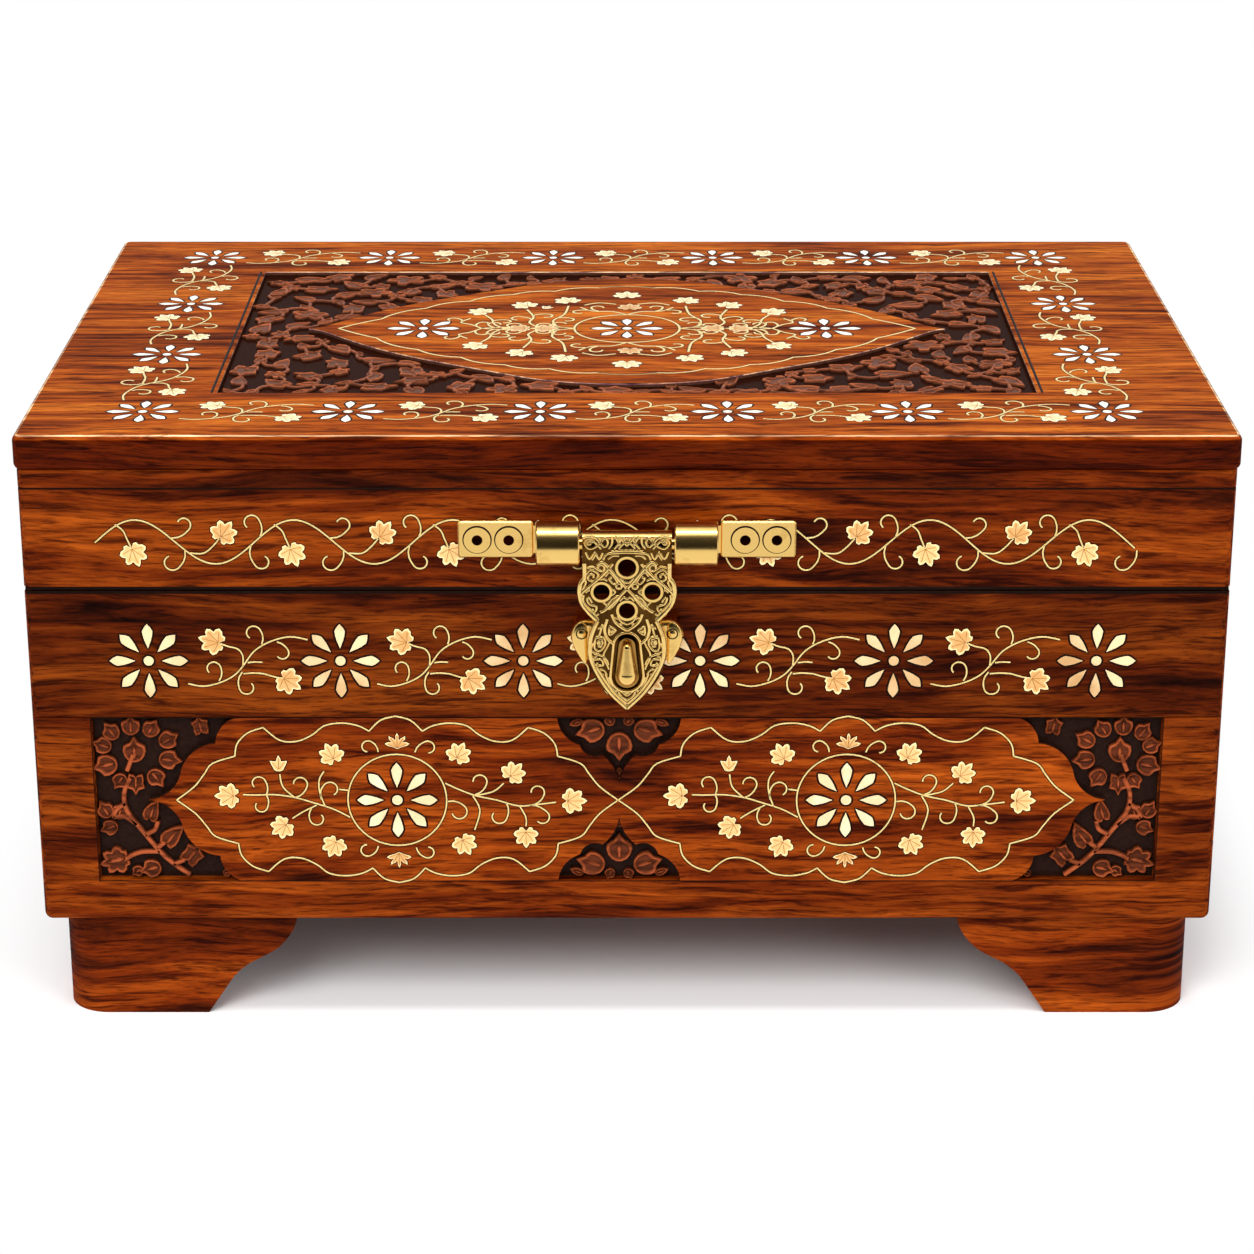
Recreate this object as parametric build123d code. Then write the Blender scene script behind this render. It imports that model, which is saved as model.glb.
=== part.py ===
"""Carved and inlaid wooden keepsake trunk on four bracket feet, with a brass hasp and two butt hinges.

Millimetres, +Z up. X runs along the front, Y from the front to the back. While the pieces are made,
y = 0 is the front edge of the lid's top board. Each piece is then moved so that the origin is in the
middle of the whole trunk's footprint, on the surface that the feet stand on.
"""

import os
from math import radians, tan

from build123d import *

# Overall size
LID_WIDTH = 304.8
LID_DEPTH = 203.2
FOOT_HEIGHT = 28.5

# Heights of the case's boards
BOTTOM_RAIL_HEIGHT = 11.3
PANEL_HEIGHT = 45.5
UPPER_RAIL_HEIGHT = 34.35

# Heights of the lid's boards
LID_RAIL_HEIGHT = 26.65
LID_STRIP_HEIGHT = 4.8
LID_BOARD_THICKNESS = 9.0

# Boards and their edges
WALL = 11.0
TOP_OVERHANG = 0.6
STILE_WIDTH = 15.0
CORNER_RADIUS = 2.2
LOW_EDGE_RADIUS = 2.0
TOP_EDGE_RADIUS = 1.6
ARRIS = 0.35
SEAM_GAP = 0.3
SHADOW_HEIGHT = 0.65
SHADOW_DEPTH = 2.2

# Bottom board, held in a groove
BOTTOM_THICKNESS = 6.0
BOTTOM_LIFT = 3.0
GROOVE_DEPTH = 4.0
GROOVE_CLEARANCE = 0.1

# Bracket feet
FOOT_INSET = 3.8
FOOT_WALL = 12.0
FOOT_CORNER_RADIUS = 11.0
FOOT_TOE = 37.5
FOOT_WING = 61.8

# Curve of a foot's wing: distance from the trunk's corner, and share of the foot's height
FOOT_SLOPE_TOP = (43.6, 0.323)
FOOT_OGEE = ((49.7, 0.523), (55.3, 0.632), (59.2, 0.768))

# Carved field of the lid, with a smooth pointed cartouche in its middle
FIELD_END_MARGIN = 46.65
FIELD_SIDE_MARGIN = 38.2
FIELD_DEPTH = 1.4
LENS_TIP_INSET = 18.25
LENS_SIDE_INSET = 8.9
LENS_SHAPE = ((0.93, 0.085), (0.72, 0.44), (0.42, 0.77))

# Carved ends of the front panel: distance from the panel's end, and share of half its height
CARVING_DEPTH = 3.0
CARTOUCHE_TIP = (13.9, 0.0)
CARTOUCHE_LOBES = ((22.2, 0.308), (31.6, 0.686), (37.2, 1.0))
CARTOUCHE_BULGES = ((19.6, 0.114), (25.3, 0.563), (32.9, 0.862))

# Carved triangles in the panel's middle: distance from their own middle line, and the same share
TRIANGLE_TIP = (0.0, 0.207)
TRIANGLE_LOBES = ((4.3, 0.549), (10.1, 0.668), (15.8, 1.0))
TRIANGLE_BULGES = ((1.4, 0.396), (7.2, 0.536), (14.2, 0.8))
TRIANGLE_CENTRE_X = -2.0

# Bone flowers, let into the wood flush with its face
INLAY_DEPTH = 1.0
PETAL_COUNT = 8
PETAL_START = 0.3
PETAL_SHOULDER = 0.78
PETAL_HALF_WIDTH = 0.155
PETAL_BULGE = 0.03
PETAL_TIP_BULGE = 0.025
FLOWER_DOT = 0.15
RAIL_FLOWER_RADIUS = 10.2
RING_FLOWER_RADIUS = 10.6
BORDER_FLOWER_RADIUS = 9.4
LENS_FLOWER_RADIUS = 10.2

# Where the flowers stand, set out by eye along each length, as shares of half that length
RAIL_FLOWER_SHARES = (-0.798, -0.478, -0.173, 0.122, 0.445, 0.783)
RAIL_FLOWER_DROP = 1.65
RING_FLOWER_SHARES = (-0.389, 0.371)
BORDER_ROW_SHARES = (-0.804, -0.463, -0.144, 0.167, 0.466, 0.797)
BORDER_ROW_MARGIN = 21.4
BORDER_COLUMN_MARGIN = 29.2
BORDER_COLUMN_SHARE = 0.261
LENS_FLOWER_SHARES = (-0.64, 0.0, 0.623)

# Hinge pin line at the back, and the bevels that stop the lid
HINGE_SETBACK = 3.0
OPEN_ANGLE = 105.0
BEVEL_PLAY = 1.0

# Butt hinges
HINGE_LENGTH = 34.0
HINGE_INSET = 56.8
KNUCKLE_RADIUS = 2.0
KNUCKLE_GAP = 0.25
MIDDLE_KNUCKLE = 12.0
LEAF_MARGIN = 0.6
LEAF_THICKNESS = 1.0
HINGE_PIN_RADIUS = 0.9
HINGE_PIN_HEAD = 1.4
HINGE_PIN_CLEARANCE = 0.05
MORTISE_CLEARANCE = 0.1
KNUCKLE_CLEARANCE = 0.3
HINGE_SCREW_PITCH = 11.0
HINGE_SCREW_HEAD = 1.7
HINGE_SCREW_SHANK = 0.8
HINGE_SCREW_LENGTH = 8.0
SCREW_CLEARANCE = 0.05

# Hasp and its pin
PIN_RISE = 0.425
PIN_FORWARD = 4.6
HASP_PIN_RADIUS = 1.6
HASP_PIN_CLEARANCE = 0.06
HASP_BARREL_RADIUS = 3.5
HASP_BARREL_HALF = 11.1
HASP_THICKNESS = 2.3
HASP_FRONT = 3.3
HASP_OUTLINE_TOP = 2.6
HASP_BLOCK_DROP = 7.9
HASP_SHOULDER = 12.3
HASP_SHOULDER_DROP = (10.0, 12.4)
HASP_WAIST = 7.7
HASP_WAIST_DROP = 19.4
HASP_BELLY = 9.7
HASP_BELLY_DROP = 27.2
HASP_TIP_DROP = 43.4
HASP_HOLES = ((0.0, 5.1, 2.3), (-6.35, 11.5, 2.05), (6.35, 11.5, 2.05), (0.0, 16.4, 2.05))
HOLE_RIM_WIDTH = 0.65
HOLE_RIM_PROUD = 0.35
SLOT_TOP_DROP = 22.8
SLOT_TOP_RADIUS = 2.85
SLOT_LOW_DROP = 37.6
SLOT_LOW_RADIUS = 3.7

# Wing plates that carry the hasp's pin on the lid
WING_INNER = 23.4
WING_OUTER = 42.2
WING_HALF_HEIGHT = 4.8
WING_THICKNESS = 1.5
WING_CORNER = 0.8
WING_NECK_HALF_HEIGHT = 3.6
HASP_KNUCKLE_RADIUS = 5.7
HASP_KNUCKLE_INNER = 11.8
HASP_KNUCKLE_OUTER = 22.6
HASP_KNUCKLE_EDGE = 0.3

# Hollow rivets of the wing plates
RIVET_X = (29.5, 37.4)
RIVET_FLANGE_RADIUS = 3.35
RIVET_FLANGE_HEIGHT = 0.5
RIVET_SHANK_RADIUS = 2.1
RIVET_HOLE_RADIUS = 1.35
RIVET_LENGTH = 6.5
RIVET_CLEARANCE = 0.05

# Catch on the case: a cast plate with two ears, and a bill that comes out through the hasp's slot
CATCH_GAP = 0.3
EAR_X = 9.9
EAR_DROP = 24.3
EAR_RADIUS = 4.3
CATCH_LOW_DROP = 33.5
CATCH_LOW_RADIUS = 6.2
CATCH_EDGE = 1.6
BILL_CLEARANCE = 0.5
BILL_ROOT_PROUD = 0.8
BILL_TAPER = 5.0
RIDGE_TOP_DROP = 25.6
RIDGE_TOP_RADIUS = 1.2
RIDGE_TOP_FORWARD = 3.6
LOBE_DROP = 33.1
LOBE_RADIUS = 2.7
LOBE_FORWARD = 4.4

# Round-headed nails of the catch
NAIL_X = 11.4
NAIL_DROP = 23.4
NAIL_HEAD_RADIUS = 1.6
NAIL_SHANK_RADIUS = 0.8
NAIL_LENGTH = 12.0
NAIL_HEAD_SINK = 0.5

# Levels, from the surface that the feet stand on
CASE_BOTTOM = FOOT_HEIGHT
PANEL_BOTTOM = CASE_BOTTOM + BOTTOM_RAIL_HEIGHT
PANEL_TOP = PANEL_BOTTOM + PANEL_HEIGHT
CASE_RIM = PANEL_TOP + UPPER_RAIL_HEIGHT
LID_RIM = CASE_RIM + SEAM_GAP
SEAM = CASE_RIM + SEAM_GAP / 2
LID_RAIL_TOP = LID_RIM + LID_RAIL_HEIGHT
LID_BOARD_BOTTOM = LID_RAIL_TOP + LID_STRIP_HEIGHT
LID_TOP = LID_BOARD_BOTTOM + LID_BOARD_THICKNESS

# Plan of the case and of the lid's rails
FRONT = TOP_OVERHANG
BACK = LID_DEPTH - TOP_OVERHANG
HALF_WIDTH = LID_WIDTH / 2 - TOP_OVERHANG
MIDDLE_Y = LID_DEPTH / 2
PANEL_HALF = HALF_WIDTH - STILE_WIDTH
PANEL_MIDDLE = (PANEL_BOTTOM + PANEL_TOP) / 2
FIELD_HALF_LENGTH = LID_WIDTH / 2 - FIELD_END_MARGIN
FIELD_HALF_WIDTH = LID_DEPTH / 2 - FIELD_SIDE_MARGIN
LENS_HALF_LENGTH = FIELD_HALF_LENGTH - LENS_TIP_INSET
LENS_HALF_WIDTH = FIELD_HALF_WIDTH - LENS_SIDE_INSET

# Lines that the moving pieces turn on
HINGE_Y = BACK - HINGE_SETBACK
HINGE_X = HALF_WIDTH - HINGE_INSET
LEAF_WIDTH = WALL - HINGE_SETBACK - LEAF_MARGIN
HINGE_SCREW_SETBACK = (KNUCKLE_RADIUS + KNUCKLE_GAP + LEAF_WIDTH) / 2
HASP_PIN_Y = FRONT - PIN_FORWARD
HASP_PIN_Z = (LID_RIM + LID_RAIL_TOP) / 2 + PIN_RISE
HASP_FACE_Y = HASP_PIN_Y - HASP_FRONT
HASP_BACK_Y = HASP_FACE_Y + HASP_THICKNESS
CATCH_FACE_Y = HASP_BACK_Y + CATCH_GAP

# The bill's lobe stands furthest forward; half of that moves the origin to the footprint's middle
LOBE_Y = HASP_FACE_Y - LOBE_FORWARD + LOBE_RADIUS
FOREMOST_Y = LOBE_Y - LOBE_RADIUS
ORIGIN_Y = (FOREMOST_Y + LID_DEPTH) / 2

# Room past a face for a cut that goes right through it
PAST = 1.0


def block(x_low, x_high, y_low, y_high, z_low, z_high):
    """A straight block between two corners."""
    middle = Pos((x_low + x_high) / 2, (y_low + y_high) / 2, (z_low + z_high) / 2)
    return middle * Box(x_high - x_low, y_high - y_low, z_high - z_low)


def rod_x(x_low, x_high, y, z, radius):
    """A round rod along X."""
    length = x_high - x_low
    return Pos((x_low + x_high) / 2, y, z) * Rot(0, 90, 0) * Cylinder(radius, length)


def rod_y(x, y_low, y_high, z, radius):
    """A round rod along Y."""
    length = y_high - y_low
    return Pos(x, (y_low + y_high) / 2, z) * Rot(90, 0, 0) * Cylinder(radius, length)


def plan_prism(points, z_low, z_high):
    """A block with this outline seen from above."""
    face = make_face(Polyline(*points, close=True))
    return extrude(Pos(0, 0, z_low) * face, z_high - z_low)


def front_plane(y, z=0.0):
    """A drawing plane at this y, seen from the front: its x is X and its y is Z."""
    return Plane(origin=(0, y, z), x_dir=(1, 0, 0), z_dir=(0, -1, 0))


def rounded_block(z_low, z_high, low_edge, high_edge):
    """The outer form of the case or of a layer of the lid, with rounded corners and edges."""
    body = block(-HALF_WIDTH, HALF_WIDTH, FRONT, BACK, z_low, z_high)
    body = fillet(body.edges().filter_by(Axis.Z), CORNER_RADIUS)
    body = fillet(body.faces().sort_by(Axis.Z)[0].edges(), low_edge)
    return fillet(body.faces().sort_by(Axis.Z)[-1].edges(), high_edge)


def shadow_ring(z_low, z_high):
    """The shallow rebate round the outside, at the seam between the case and the lid."""
    outer = block(-LID_WIDTH, LID_WIDTH, -LID_DEPTH, 2 * LID_DEPTH, z_low, z_high)
    half = HALF_WIDTH - SHADOW_DEPTH
    return outer - block(-half, half, FRONT + SHADOW_DEPTH, BACK - SHADOW_DEPTH, z_low, z_high)


def seam_bevel(up):
    """The wedge cut away behind the hinge line. The bevels over and under the seam meet when the lid is open."""
    run = HINGE_SETBACK + PAST
    rise = run * tan(radians((OPEN_ANGLE + BEVEL_PLAY) / 2)) * (1 if up else -1)
    outline = Polyline((HINGE_Y, SEAM), (HINGE_Y + run, SEAM), (HINGE_Y + run, SEAM + rise), close=True)
    side_plane = Plane(origin=(-LID_WIDTH, 0, 0), x_dir=(0, 1, 0), z_dir=(1, 0, 0))
    return extrude(side_plane * make_face(outline), 2 * LID_WIDTH)


def mitred(side, z_low, z_high):
    """The room of one wall: a board's length with both ends cut at 45 degrees."""
    inner = HALF_WIDTH - WALL
    outlines = {
        "front": ((-HALF_WIDTH, FRONT), (HALF_WIDTH, FRONT), (inner, FRONT + WALL), (-inner, FRONT + WALL)),
        "back": ((-HALF_WIDTH, BACK), (HALF_WIDTH, BACK), (inner, BACK - WALL), (-inner, BACK - WALL)),
        "left": ((-HALF_WIDTH, FRONT), (-inner, FRONT + WALL), (-inner, BACK - WALL), (-HALF_WIDTH, BACK)),
        "right": ((HALF_WIDTH, FRONT), (inner, FRONT + WALL), (inner, BACK - WALL), (HALF_WIDTH, BACK)),
    }
    return plan_prism(outlines[side], z_low, z_high)


def eased_board(x_low, x_high, z_low, z_high, edges):
    """A board of the front, with the named edges of its face eased so that its joints show as thin lines."""
    board = block(x_low, x_high, FRONT, FRONT + WALL, z_low, z_high)
    face_edges = board.faces().sort_by(Axis.Y)[0].edges()
    chosen = []
    if "low" in edges:
        chosen.append(face_edges.sort_by(Axis.Z)[0])
    if "high" in edges:
        chosen.append(face_edges.sort_by(Axis.Z)[-1])
    return chamfer(chosen, ARRIS)


# Flowers


def petal_face(radius):
    """One petal as a flat outline along X: a sharp foot near the flower's centre, shoulders and a sharp tip."""
    start = PETAL_START * radius
    shoulder = PETAL_SHOULDER * radius
    half = PETAL_HALF_WIDTH * radius
    middle = (start + shoulder) / 2
    bulge = half / 2 + PETAL_BULGE * radius
    tip_middle = (shoulder + radius) / 2
    tip_bulge = half / 2 + PETAL_TIP_BULGE * radius
    upper = ThreePointArc((start, 0), (middle, bulge), (shoulder, half))
    upper_tip = ThreePointArc((shoulder, half), (tip_middle, tip_bulge), (radius, 0))
    lower_tip = ThreePointArc((radius, 0), (tip_middle, -tip_bulge), (shoulder, -half))
    lower = ThreePointArc((shoulder, -half), (middle, -bulge), (start, 0))
    return make_face([upper, upper_tip, lower_tip, lower])


def flower(plane, radius):
    """The separate bone pieces of one flower, let in behind this plane's origin."""
    petal = extrude(petal_face(radius), -INLAY_DEPTH)
    step = 360 / PETAL_COUNT
    pieces = [plane * Rot(0, 0, step * turn) * petal for turn in range(PETAL_COUNT)]
    dot = Pos(0, 0, -INLAY_DEPTH / 2) * Cylinder(FLOWER_DOT * radius, INLAY_DEPTH)
    pieces.append(plane * dot)
    return pieces


def flowers(planes, radius):
    """All the bone pieces of several flowers."""
    pieces = []
    for plane in planes:
        pieces.extend(flower(plane, radius))
    return pieces


def top_plane(x, y):
    return Plane(origin=(x, y, LID_TOP), x_dir=(1, 0, 0), z_dir=(0, 0, 1))


def face_plane(x, z):
    return Plane(origin=(x, FRONT, z), x_dir=(1, 0, 0), z_dir=(0, -1, 0))


def border_flowers():
    planes = []
    for share in BORDER_ROW_SHARES:
        x = share * LID_WIDTH / 2
        planes.append(top_plane(x, BORDER_ROW_MARGIN))
        planes.append(top_plane(x, LID_DEPTH - BORDER_ROW_MARGIN))
    column_x = LID_WIDTH / 2 - BORDER_COLUMN_MARGIN
    column_y = BORDER_COLUMN_SHARE * LID_DEPTH / 2
    for x in (-column_x, column_x):
        for y in (MIDDLE_Y - column_y, MIDDLE_Y + column_y):
            planes.append(top_plane(x, y))
    return flowers(planes, BORDER_FLOWER_RADIUS)


def lens_flowers():
    places = [share * LENS_HALF_LENGTH for share in LENS_FLOWER_SHARES]
    return flowers([top_plane(x, MIDDLE_Y) for x in places], LENS_FLOWER_RADIUS)


def rail_flowers():
    level = (PANEL_TOP + CASE_RIM) / 2 - RAIL_FLOWER_DROP
    places = [share * HALF_WIDTH for share in RAIL_FLOWER_SHARES]
    return flowers([face_plane(x, level) for x in places], RAIL_FLOWER_RADIUS)


def ring_flowers():
    places = [share * HALF_WIDTH for share in RING_FLOWER_SHARES]
    return flowers([face_plane(x, PANEL_MIDDLE) for x in places], RING_FLOWER_RADIUS)


# Case


def case_form():
    """The outer form that every board of the case is cut to."""
    form = rounded_block(CASE_BOTTOM, CASE_RIM, LOW_EDGE_RADIUS, ARRIS)
    form -= shadow_ring(CASE_RIM - SHADOW_HEIGHT, CASE_RIM + PAST)
    return form - seam_bevel(up=False)


def bottom_board():
    half = HALF_WIDTH - WALL + GROOVE_DEPTH
    y_low = FRONT + WALL - GROOVE_DEPTH
    y_high = BACK - WALL + GROOVE_DEPTH
    z_low = CASE_BOTTOM + BOTTOM_LIFT
    return block(-half, half, y_low, y_high, z_low, z_low + BOTTOM_THICKNESS)


def bottom_groove():
    """The room of the bottom board, with its clearance."""
    half = HALF_WIDTH - WALL + GROOVE_DEPTH + GROOVE_CLEARANCE
    y_low = FRONT + WALL - GROOVE_DEPTH - GROOVE_CLEARANCE
    y_high = BACK - WALL + GROOVE_DEPTH + GROOVE_CLEARANCE
    z_low = CASE_BOTTOM + BOTTOM_LIFT
    return block(-half, half, y_low, y_high, z_low, z_low + BOTTOM_THICKNESS + GROOVE_CLEARANCE)


def case_wall(side):
    return (mitred(side, CASE_BOTTOM, CASE_RIM) & case_form()) - bottom_groove()


def front_upper_rail(inlay):
    board = eased_board(-HALF_WIDTH, HALF_WIDTH, PANEL_TOP, CASE_RIM, ("low",))
    board = board & mitred("front", PANEL_TOP, CASE_RIM) & case_form()
    return board - inlay


def front_bottom_rail():
    board = eased_board(-HALF_WIDTH, HALF_WIDTH, CASE_BOTTOM, PANEL_BOTTOM, ("high",))
    board = board & mitred("front", CASE_BOTTOM, PANEL_BOTTOM) & case_form()
    return board - bottom_groove()


def front_stile(side):
    ends = sorted((side * PANEL_HALF, side * HALF_WIDTH))
    board = eased_board(ends[0], ends[1], PANEL_BOTTOM, PANEL_TOP, ("low", "high"))
    return board & mitred("front", PANEL_BOTTOM, PANEL_TOP) & case_form()


def lobed_line(tip, lobes, bulges):
    """Three arcs from a tip outwards, each through its bulge."""
    arcs = []
    start = tip
    for bulge, end in zip(bulges, lobes):
        arcs.append(ThreePointArc(start, bulge, end))
        start = end
    return arcs


def from_panel_end(point):
    return PANEL_HALF - point[0], point[1] * PANEL_HEIGHT / 2


def from_middle_line(point):
    return point[0], point[1] * PANEL_HEIGHT / 2


def corner_field():
    """Outline of the right-hand carved field, from the panel's middle."""
    lobes = [from_panel_end(point) for point in CARTOUCHE_LOBES]
    bulges = [from_panel_end(point) for point in CARTOUCHE_BULGES]
    upper = lobed_line(from_panel_end(CARTOUCHE_TIP), lobes, bulges)
    lower = [mirror(arc, Plane.XZ) for arc in upper]
    end = lobes[-1]
    past = PANEL_HALF + PAST
    frame = Polyline(end, (past, end[1]), (past, -end[1]), (end[0], -end[1]))
    return make_face([*upper, *frame.edges(), *lower])


def triangle_field():
    """Outline of the upper carved triangle, about its own middle line."""
    lobes = [from_middle_line(point) for point in TRIANGLE_LOBES]
    bulges = [from_middle_line(point) for point in TRIANGLE_BULGES]
    right = lobed_line(from_middle_line(TRIANGLE_TIP), lobes, bulges)
    left = [mirror(arc, Plane.YZ) for arc in right]
    end = lobes[-1]
    return make_face([*right, *left, Line((-end[0], end[1]), end)])


def front_panel(inlay):
    """The panel between the stiles, with its ground cut down at both ends and in the middle."""
    panel = block(-PANEL_HALF, PANEL_HALF, FRONT, FRONT + WALL, PANEL_BOTTOM, PANEL_TOP)
    plane = front_plane(FRONT, PANEL_MIDDLE)
    field = corner_field()
    for outline in (field, mirror(field, Plane.YZ)):
        panel -= extrude(plane * outline, -CARVING_DEPTH)
    triangle = Pos(TRIANGLE_CENTRE_X, 0) * triangle_field()
    for outline in (triangle, mirror(triangle, Plane.XZ)):
        panel -= extrude(plane * outline, -CARVING_DEPTH)
    return panel - inlay


# Feet


def foot_profile():
    """Side of a bracket foot: toe on the floor, straight slope, then an ogee up to the case."""
    top = (FOOT_WING, FOOT_HEIGHT)
    slope_top, *curve = [(u, share * FOOT_HEIGHT) for u, share in (FOOT_SLOPE_TOP, *FOOT_OGEE)]
    slope = (slope_top[0] - FOOT_TOE, slope_top[1])
    ogee = Spline(slope_top, *curve, top, tangents=(slope, (0.1, 1)))
    sides = Polyline(top, (0, FOOT_HEIGHT), (0, 0), (FOOT_TOE, 0), slope_top)
    return make_face([ogee, *sides.edges()])


def bracket_foot(right, rear):
    """One foot: two wings that meet in a rounded corner, under a corner of the case."""
    profile = foot_profile()
    front_wing = extrude(front_plane(0) * profile, -FOOT_WALL)
    side_plane = Plane(origin=(0, 0, 0), x_dir=(0, 1, 0), z_dir=(1, 0, 0))
    side_wing = extrude(side_plane * profile, FOOT_WALL)
    foot = front_wing + side_wing
    corner = block(0, 2 * FOOT_WING, 0, 2 * FOOT_WING, 0, FOOT_HEIGHT)
    upright = corner.edges().filter_by(Axis.Z).sort_by(SortBy.DISTANCE)[0]
    foot = foot & fillet(upright, FOOT_CORNER_RADIUS)
    if right:
        foot = mirror(foot, Plane.YZ)
    if rear:
        foot = mirror(foot, Plane.XZ)
    x = (HALF_WIDTH - FOOT_INSET) * (1 if right else -1)
    y = BACK - FOOT_INSET if rear else FRONT + FOOT_INSET
    return Pos(x, y, 0) * foot


# Lid


def lens_outline():
    """Pointed cartouche about the lid's middle."""
    points = [(u * LENS_HALF_LENGTH, v * LENS_HALF_WIDTH) for u, v in LENS_SHAPE]
    tip = (LENS_HALF_LENGTH, 0)
    top = (0, LENS_HALF_WIDTH)
    quarter = Spline(tip, *points, top, tangents=((-1, 0.25), (-1, 0)))
    half = [quarter, mirror(quarter, Plane.YZ)]
    return make_face([*half, *(mirror(line, Plane.XZ) for line in half)])


def lid_board(inlay):
    """The top board with its carved field cut down round the smooth cartouche."""
    board = block(-LID_WIDTH / 2, LID_WIDTH / 2, 0, LID_DEPTH, LID_BOARD_BOTTOM, LID_TOP)
    board = fillet(board.edges().filter_by(Axis.Z), CORNER_RADIUS)
    board = fillet(board.faces().sort_by(Axis.Z)[-1].edges(), TOP_EDGE_RADIUS)
    board = fillet(board.faces().sort_by(Axis.Z)[0].edges(), TOP_EDGE_RADIUS)
    middle = Pos(0, MIDDLE_Y, LID_TOP - FIELD_DEPTH)
    field = extrude(middle * Rectangle(2 * FIELD_HALF_LENGTH, 2 * FIELD_HALF_WIDTH), FIELD_DEPTH)
    lens = extrude(middle * lens_outline(), FIELD_DEPTH)
    return board - (field - lens) - inlay


def lid_rail_form():
    form = rounded_block(LID_RIM, LID_RAIL_TOP, ARRIS, ARRIS)
    form -= shadow_ring(LID_RIM - PAST, LID_RIM + SHADOW_HEIGHT)
    return form - seam_bevel(up=True)


def lid_rail(side):
    return mitred(side, LID_RIM, LID_RAIL_TOP) & lid_rail_form()


def lid_strip(side):
    form = rounded_block(LID_RAIL_TOP, LID_BOARD_BOTTOM, ARRIS, ARRIS)
    return mitred(side, LID_RAIL_TOP, LID_BOARD_BOTTOM) & form


# Butt hinges, at (x, HINGE_Y, SEAM)


def knuckle_spans(on_lid):
    """The stretches of a hinge's length where a leaf has its knuckles."""
    half = HINGE_LENGTH / 2
    if on_lid:
        return [(-MIDDLE_KNUCKLE / 2, MIDDLE_KNUCKLE / 2)]
    inner = MIDDLE_KNUCKLE / 2 + KNUCKLE_GAP
    return [(-half, -inner), (inner, half)]


def hinge_leaf(x, on_lid):
    """One leaf, flush in the board's edge, with its knuckles round the pin."""
    up = 1 if on_lid else -1
    face = LID_RIM if on_lid else CASE_RIM
    levels = sorted((face, face + up * LEAF_THICKNESS))
    half = HINGE_LENGTH / 2
    edge = HINGE_Y - KNUCKLE_RADIUS - KNUCKLE_GAP
    leaf = block(x - half, x + half, HINGE_Y - LEAF_WIDTH, edge, *levels)
    for low, high in knuckle_spans(on_lid):
        leaf += block(x + low, x + high, edge, HINGE_Y, *levels)
        leaf += rod_x(x + low, x + high, HINGE_Y, SEAM, KNUCKLE_RADIUS)
    leaf -= rod_x(x - half, x + half, HINGE_Y, SEAM, HINGE_PIN_RADIUS + HINGE_PIN_CLEARANCE)
    for screw in hinge_screws(x, on_lid, SCREW_CLEARANCE):
        leaf -= screw
    return leaf


def hinge_mortise(x, on_lid):
    """The room that a hinge needs in the case's back, or in the lid's back rail."""
    up = 1 if on_lid else -1
    face = LID_RIM if on_lid else CASE_RIM
    levels = sorted((face - up * PAST, face + up * LEAF_THICKNESS))
    half = HINGE_LENGTH / 2 + MORTISE_CLEARANCE
    room = block(x - half, x + half, HINGE_Y - LEAF_WIDTH - MORTISE_CLEARANCE, HINGE_Y, *levels)
    barrel_half = HINGE_LENGTH / 2 + KNUCKLE_CLEARANCE + HINGE_PIN_HEAD
    radius = KNUCKLE_RADIUS + KNUCKLE_CLEARANCE
    return room + rod_x(x - barrel_half, x + barrel_half, HINGE_Y, SEAM, radius)


def hinge_pin(x):
    """A steel pin with a small head at each end."""
    half = HINGE_LENGTH / 2
    pin = rod_x(x - half, x + half, HINGE_Y, SEAM, HINGE_PIN_RADIUS)
    for low in (x - half - HINGE_PIN_HEAD / 2, x + half):
        pin += rod_x(low, low + HINGE_PIN_HEAD / 2, HINGE_Y, SEAM, HINGE_PIN_HEAD)
    return pin


def hinge_screws(x, on_lid, clearance):
    """Three countersunk screws, or the room they need in the leaf and the wood."""
    up = 1 if on_lid else -1
    face = LID_RIM if on_lid else CASE_RIM
    turn = Rot(0, 0, 0) if on_lid else Rot(180, 0, 0)
    head_height = LEAF_THICKNESS
    screws = []
    for step in (-1, 0, 1):
        place = Pos(x + step * HINGE_SCREW_PITCH, HINGE_Y - HINGE_SCREW_SETBACK, face)
        head_radius = HINGE_SCREW_HEAD + clearance
        shank_radius = HINGE_SCREW_SHANK + clearance
        head = Pos(0, 0, head_height / 2) * Cone(head_radius, shank_radius, head_height)
        shank = Pos(0, 0, HINGE_SCREW_LENGTH / 2) * Cylinder(shank_radius, HINGE_SCREW_LENGTH)
        screws.append(place * turn * (head + shank))
    return screws


def all_hinge_screws(on_lid, clearance):
    screws = []
    for x in (-HINGE_X, HINGE_X):
        screws.extend(hinge_screws(x, on_lid, clearance))
    return screws


# Hasp, drawn about its pin: x along the pin, y up


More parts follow.
